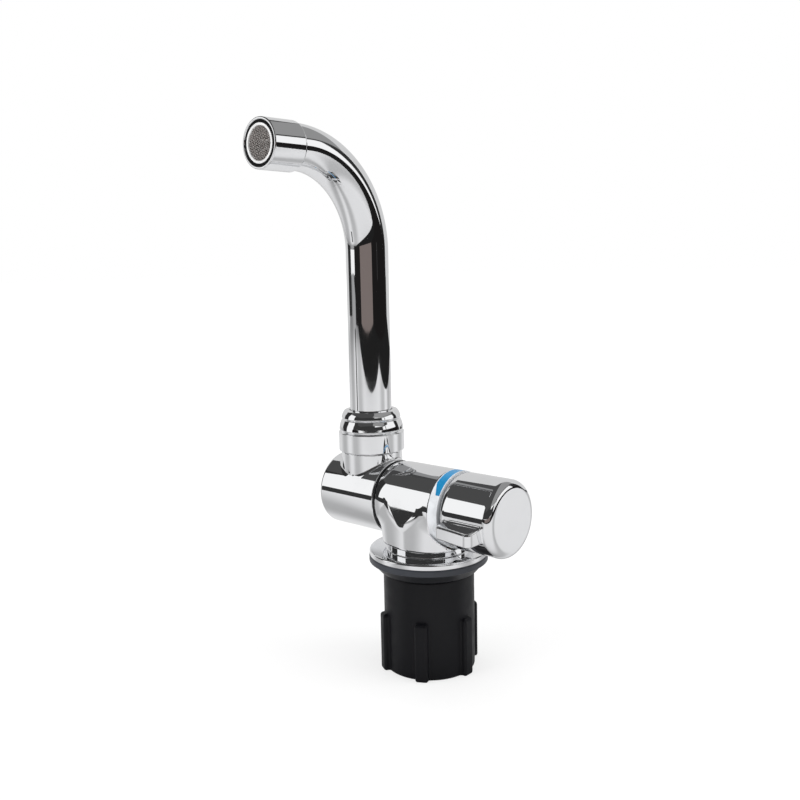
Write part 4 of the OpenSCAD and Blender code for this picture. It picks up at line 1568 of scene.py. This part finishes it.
@dataclass
class Studio:
    """A white light tent with a pale table, a dark ceiling and a dark room past the table. Sizes in metres.

    The cards show only in reflections, as the cards of a product photographer do. Places are given as
    right of the camera, away from it and up, from the foot of the tap.
    """

    eye: Corner = (0.23506, -0.27931, 0.12702)
    azimuth: float = 41.77
    elevation: float = 8.65
    roll: float = -1.16
    lens: float = 40.36
    sensor: float = 36.0
    floor_half: float = 12.0
    floor_tone: float = 0.8
    floor_glow: float = 1.12
    past_tone: float = 0.015
    table_turn: float = 8.0
    table_front: float = 0.79
    table_side: float = 0.82
    table_colour: Colour = (0.65, 0.65, 0.655)
    glare_turn: float = -83.0
    glare_fall: float = 0.38
    glare_edge: tuple[float, float] = (0.04, 0.34)
    glare_end: tuple[float, float] = (0.45, 0.8)
    shadow_edge: tuple[float, float] = (0.12, 0.7)
    shadow_least: float = 0.6
    ceiling_z: float = 0.78
    ceiling_depth: tuple[float, float] = (-1.2, 0.6)
    back_y: float = 1.3
    back_half: float = 2.2
    back_height: tuple[float, float] = (-0.05, 1.9)
    back_tone: float = 0.66
    strip_y: float = -0.03
    strip_height: tuple[float, float] = (0.0267, 0.0321)
    strip_tone: float = 0.035
    fill_level: float = 0.55
    lamp_watts: float = 9.0
    lamp_aim: Corner = (0.0, 0.0, 0.05)

    def ceilings(self) -> tuple[tuple[str, float, float, float], ...]:
        """Gives the name, left edge, right edge and tone of each ceiling card."""
        return (("card_ceiling", -1.07, 0.15, 0.07), ("card_ceiling_right", 0.15, 1.08, 0.3),
                ("card_ceiling_edge", 1.08, 1.3, 0.06))

    def walls(self) -> tuple[Wall, ...]:
        """Lists the upright cards round the tap.

        Returns:
            The room past the table, the dark front, a seam, a strip beside the body and the tent's dark ends.
        """
        return (
            Wall("card_room_left", -72, -38, 2.2, -0.06, 0.25, (0.015, 0.014, 0.014)),
            Wall("card_room_middle", -38, 26, 2.2, -0.06, 0.25, (0.20, 0.165, 0.155)),
            Wall("card_room_line", -6, -2, 2.1, -0.06, 0.25, (0.06, 0.045, 0.04)),
            Wall("card_room_right", 26, 111, 2.2, -0.06, 0.25, (0.012, 0.011, 0.011)),
            Wall("card_front", -69, 15, 2.3, 0.24, 2.1, grey(0.04)),
            Wall("card_front_low", 15, 45, 2.3, 0.3, 1.05, grey(0.04)),
            Wall("card_seam", 55, 57.5, 1.2, 0.1, 0.9, grey(0.05)),
            Wall("card_strip_body", -83.4, -77.8, 0.45, -0.021, 0.07, grey(0.035)),
            Wall("card_left_end", -124, -98, 2.3, -0.02, 2.0, grey(0.03)),
            Wall("card_right_end", 101, 119, 2.3, -0.02, 2.0, grey(0.03)),
        )

    def strips(self) -> tuple[tuple[str, float, float], ...]:
        """Gives the name and the two ends, along the barrels, of each slim card close in front of the tap."""
        return ("card_strip_elbow", -0.062, -0.0215), ("card_strip_knob", -0.0045, 0.031)

    def lamps(self) -> tuple[tuple[str, Corner, float], ...]:
        """Gives the name, place and size of each soft lamp."""
        return (("lamp_left", (-1.2, -0.5, 0.9), 1.0), ("lamp_right", (1.2, -0.3, 0.9), 1.0),
                ("lamp_top", (0.0, 0.2, 1.5), 1.4))

    def axes(self) -> tuple[Vector, Vector]:
        """Gives the level directions to the right of the camera and away from it."""
        a = math.radians(self.azimuth)
        return Vector((math.cos(a), math.sin(a), 0.0)), Vector((-math.sin(a), math.cos(a), 0.0))

    def camera(self) -> None:
        """Makes the camera at the photograph's angle."""
        a, e, r = (math.radians(v) for v in (self.azimuth, self.elevation, self.roll))
        back = Vector((math.sin(a) * math.cos(e), -math.cos(a) * math.cos(e), math.sin(e)))
        level = (-back).cross(Vector((0.0, 0.0, 1.0))).normalized()
        rise = level.cross(-back)
        right = math.cos(r) * level + math.sin(r) * rise
        up = math.cos(r) * rise - math.sin(r) * level
        data = bpy.data.cameras.new("photo_camera")
        data.lens, data.sensor_width = self.lens, self.sensor
        data.clip_start, data.clip_end = 0.01, 100.0
        obj = link(bpy.data.objects.new("photo_camera", data))
        turn = Matrix((right, up, back)).transposed().to_4x4()
        obj.matrix_world = Matrix.Translation(self.eye) @ turn
        bpy.context.scene.camera = obj

    def panel(self, name: str, corners: Sequence[Corner], tone: Colour) -> None:
        """Makes one card that only reflections see.

        Args:
            name: Name of the card.
            corners: Its corners as (right, away, up).
            tone: How bright it looks.
        """
        right, away = self.axes()
        points = [right * u + away * v + Vector((0.0, 0.0, w)) for u, v, w in corners]
        mesh = bpy.data.meshes.new(name)
        mesh.from_pydata([p[:] for p in points], [], [list(range(len(points)))])
        material = bpy.data.materials.new(name)
        material.use_nodes = True
        graph = Graph(material.node_tree)
        glow = graph.add("ShaderNodeEmission", Color=(*tone, 1.0), Strength=1.0)
        graph.add("ShaderNodeOutputMaterial", Surface=glow.outputs[0])
        mesh.materials.append(material)
        obj = link(bpy.data.objects.new(name, mesh))
        for ray in ("camera", "diffuse", "transmission", "volume_scatter", "shadow"):
            setattr(obj, f"visible_{ray}", False)

    def upright(self, name: str, feet: Sequence[tuple[float, float]], low: float, high: float,
                tone: Colour) -> None:
        """Makes one upright card.

        Args:
            name: Name of the card.
            feet: Its left and right edges as (right, away).
            low: Height of its lower edge.
            high: Height of its upper edge.
            tone: How bright it looks.
        """
        left, right = feet
        self.panel(name, [(*left, low), (*right, low), (*right, high), (*left, high)], tone)

    def tent(self) -> None:
        """Sets up the cards: ceiling, back, the walls round the tap and the dark strips along its barrels."""
        near, far = self.ceiling_depth
        for name, start, end, tone in self.ceilings():
            outline = ((start, near), (end, near), (end, far), (start, far))
            self.panel(name, [(*corner, self.ceiling_z) for corner in outline], grey(tone))
        half = self.back_half
        feet = [(-half, self.back_y), (half, self.back_y)]
        self.upright("card_back", feet, *self.back_height, grey(self.back_tone))
        for wall in self.walls():
            angles = [math.radians(v) for v in (wall.start, wall.end)]
            feet = [(wall.reach * math.sin(a), -wall.reach * math.cos(a)) for a in angles]
            self.upright(wall.name, feet, wall.low, wall.high, wall.tone)
        right, away = self.axes()
        for name, start, end in self.strips():
            ends = [Vector((x, self.strip_y, 0.0)) for x in (start, end)]
            feet = [(right.dot(place), away.dot(place)) for place in ends]
            self.upright(name, feet, *self.strip_height, grey(self.strip_tone))

    def table_glare(self, graph: Graph, place: bpy.types.NodeSocket,
                    far: bpy.types.NodeSocket) -> bpy.types.NodeSocket:
        """Shades the table as reflections see it: brightest towards one side, with a soft fall beside that.

        Args:
            graph: The floor's material.
            place: The place on the floor.
            far: Its distance from the tap.

        Returns:
            The table's colour.
        """
        bearing = graph.add("ShaderNodeMapping", Vector=place,
                            Rotation=(0.0, 0.0, math.radians(90 - self.azimuth - self.glare_turn)))
        across = graph.add("ShaderNodeSeparateXYZ", Vector=bearing.outputs[0]).outputs["Y"]
        swing = graph.math("DIVIDE", graph.math("ABSOLUTE", across), far)
        beside = graph.math("MULTIPLY", graph.ramp(swing, *self.glare_edge, 0.0, 1.0),
                            graph.ramp(swing, *self.glare_end, 1.0, 0.0))
        tone = graph.math("MULTIPLY_ADD", beside, -self.glare_fall, 1.0)
        return graph.shade(self.table_colour, tone)

    def past_table(self, graph: Graph, place: bpy.types.NodeSocket) -> bpy.types.NodeSocket:
        """Parts the table from the floor past its front and side edges, as reflections see it.

        Args:
            graph: The floor's material.
            place: The place on the floor.

        Returns:
            1 past the table and 0 on it.
        """
        turned = graph.add("ShaderNodeMapping", Vector=place,
                           Rotation=(0.0, 0.0, -math.radians(self.azimuth + self.table_turn)))
        split = graph.add("ShaderNodeSeparateXYZ", Vector=turned.outputs[0])
        side = graph.math("GREATER_THAN", split.outputs["X"], self.table_side)
        front = graph.math("LESS_THAN", split.outputs["Y"], -self.table_front)
        return graph.math("MAXIMUM", side, front)

    def floor(self) -> None:
        """Makes the pale floor, which keeps the shadow and is a table of limited size in reflections."""
        half, level = self.floor_half, LAYOUT.floor_z * MM
        mesh = bpy.data.meshes.new("floor")
        outline = ((-half, -half), (half, -half), (half, half), (-half, half))
        mesh.from_pydata([(*corner, level) for corner in outline], [], [[0, 1, 2, 3]])
        material = bpy.data.materials.new("floor")
        material.use_nodes = True
        graph = Graph(material.node_tree)
        place = graph.add("ShaderNodeTexCoord").outputs["Object"]
        far = graph.add("ShaderNodeVectorMath", {"operation": "LENGTH"}, i0=place).outputs["Value"]
        table = graph.add("ShaderNodeBsdfDiffuse", Color=(*grey(self.floor_tone), 1.0))
        paper = graph.add("ShaderNodeBsdfDiffuse", Color=self.table_glare(graph, place, far))
        white = graph.add("ShaderNodeEmission", Color=(*grey(1.0), 1.0), Strength=self.floor_glow)
        dark = graph.add("ShaderNodeEmission", Color=(*grey(self.past_tone), 1.0), Strength=1.0)
        share = graph.ramp(far, *self.shadow_edge, self.shadow_least, 1.0)
        seen = graph.add("ShaderNodeMixShader", i0=share, i1=table.outputs[0], i2=white.outputs[0])
        mirrored = graph.add("ShaderNodeMixShader", i0=self.past_table(graph, place), i1=paper.outputs[0],
                             i2=dark.outputs[0])
        light = graph.add("ShaderNodeLightPath")
        by_ray = graph.add("ShaderNodeMixShader", i0=light.outputs["Is Glossy Ray"], i1=table.outputs[0],
                           i2=mirrored.outputs[0])
        by_ray = graph.add("ShaderNodeMixShader", i0=light.outputs["Is Camera Ray"], i1=by_ray.outputs[0],
                           i2=seen.outputs[0])
        graph.add("ShaderNodeOutputMaterial", Surface=by_ray.outputs[0])
        mesh.materials.append(material)
        link(bpy.data.objects.new("floor", mesh))

    def world(self) -> None:
        """Makes the surroundings: white where they are seen or mirrored, and a soft even light otherwise."""
        world = bpy.data.worlds.new("studio")
        world.use_nodes = True
        graph = Graph(world.node_tree)
        light = graph.add("ShaderNodeLightPath")
        seen = graph.math("MAXIMUM", light.outputs["Is Camera Ray"], light.outputs["Is Glossy Ray"])
        seen = graph.math("MAXIMUM", seen, light.outputs["Is Transmission Ray"])
        level = graph.math("MULTIPLY_ADD", seen, 1.0 - self.fill_level, self.fill_level)
        back = graph.add("ShaderNodeBackground", Color=(*grey(1.0), 1.0), Strength=level)
        graph.add("ShaderNodeOutputWorld", Surface=back.outputs[0])
        bpy.context.scene.world = world

    def lamp(self, name: str, place: Corner, size: float) -> None:
        """Makes one soft lamp aimed at the tap.

        Args:
            name: Name of the lamp.
            place: Where it stands, as (right, away, up).
            size: Side of its square.
        """
        right, away = self.axes()
        data = bpy.data.lights.new(name, "AREA")
        data.energy, data.size = self.lamp_watts, size
        obj = link(bpy.data.objects.new(name, data))
        spot = right * place[0] + away * place[1] + Vector((0.0, 0.0, place[2]))
        aim = Vector(self.lamp_aim) - spot
        obj.matrix_world = Matrix.Translation(spot) @ aim.to_track_quat("-Z", "Y").to_matrix().to_4x4()
        obj.visible_glossy = False

    def build(self) -> None:
        """Sets up camera, floor, cards, lamps and surroundings."""
        bpy.context.scene.view_settings.view_transform = "Standard"
        self.camera()
        self.floor()
        self.tent()
        self.world()
        for name, place, size in self.lamps():
            self.lamp(name, place, size)


def main() -> None:
    """Builds the stage and the tap."""
    logging.basicConfig(level=logging.INFO, format="%(name)s: %(message)s")
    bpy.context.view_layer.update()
    for part in (Studio(), InnerParts(), ValveBody(), BaseFlange(), Elbow(), CollarNut(), Spout(), Knob(),
                 ClampNut(), Shank(), OutletScreen()):
        part.build()
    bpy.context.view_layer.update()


if __name__ == "__main__":
    main()
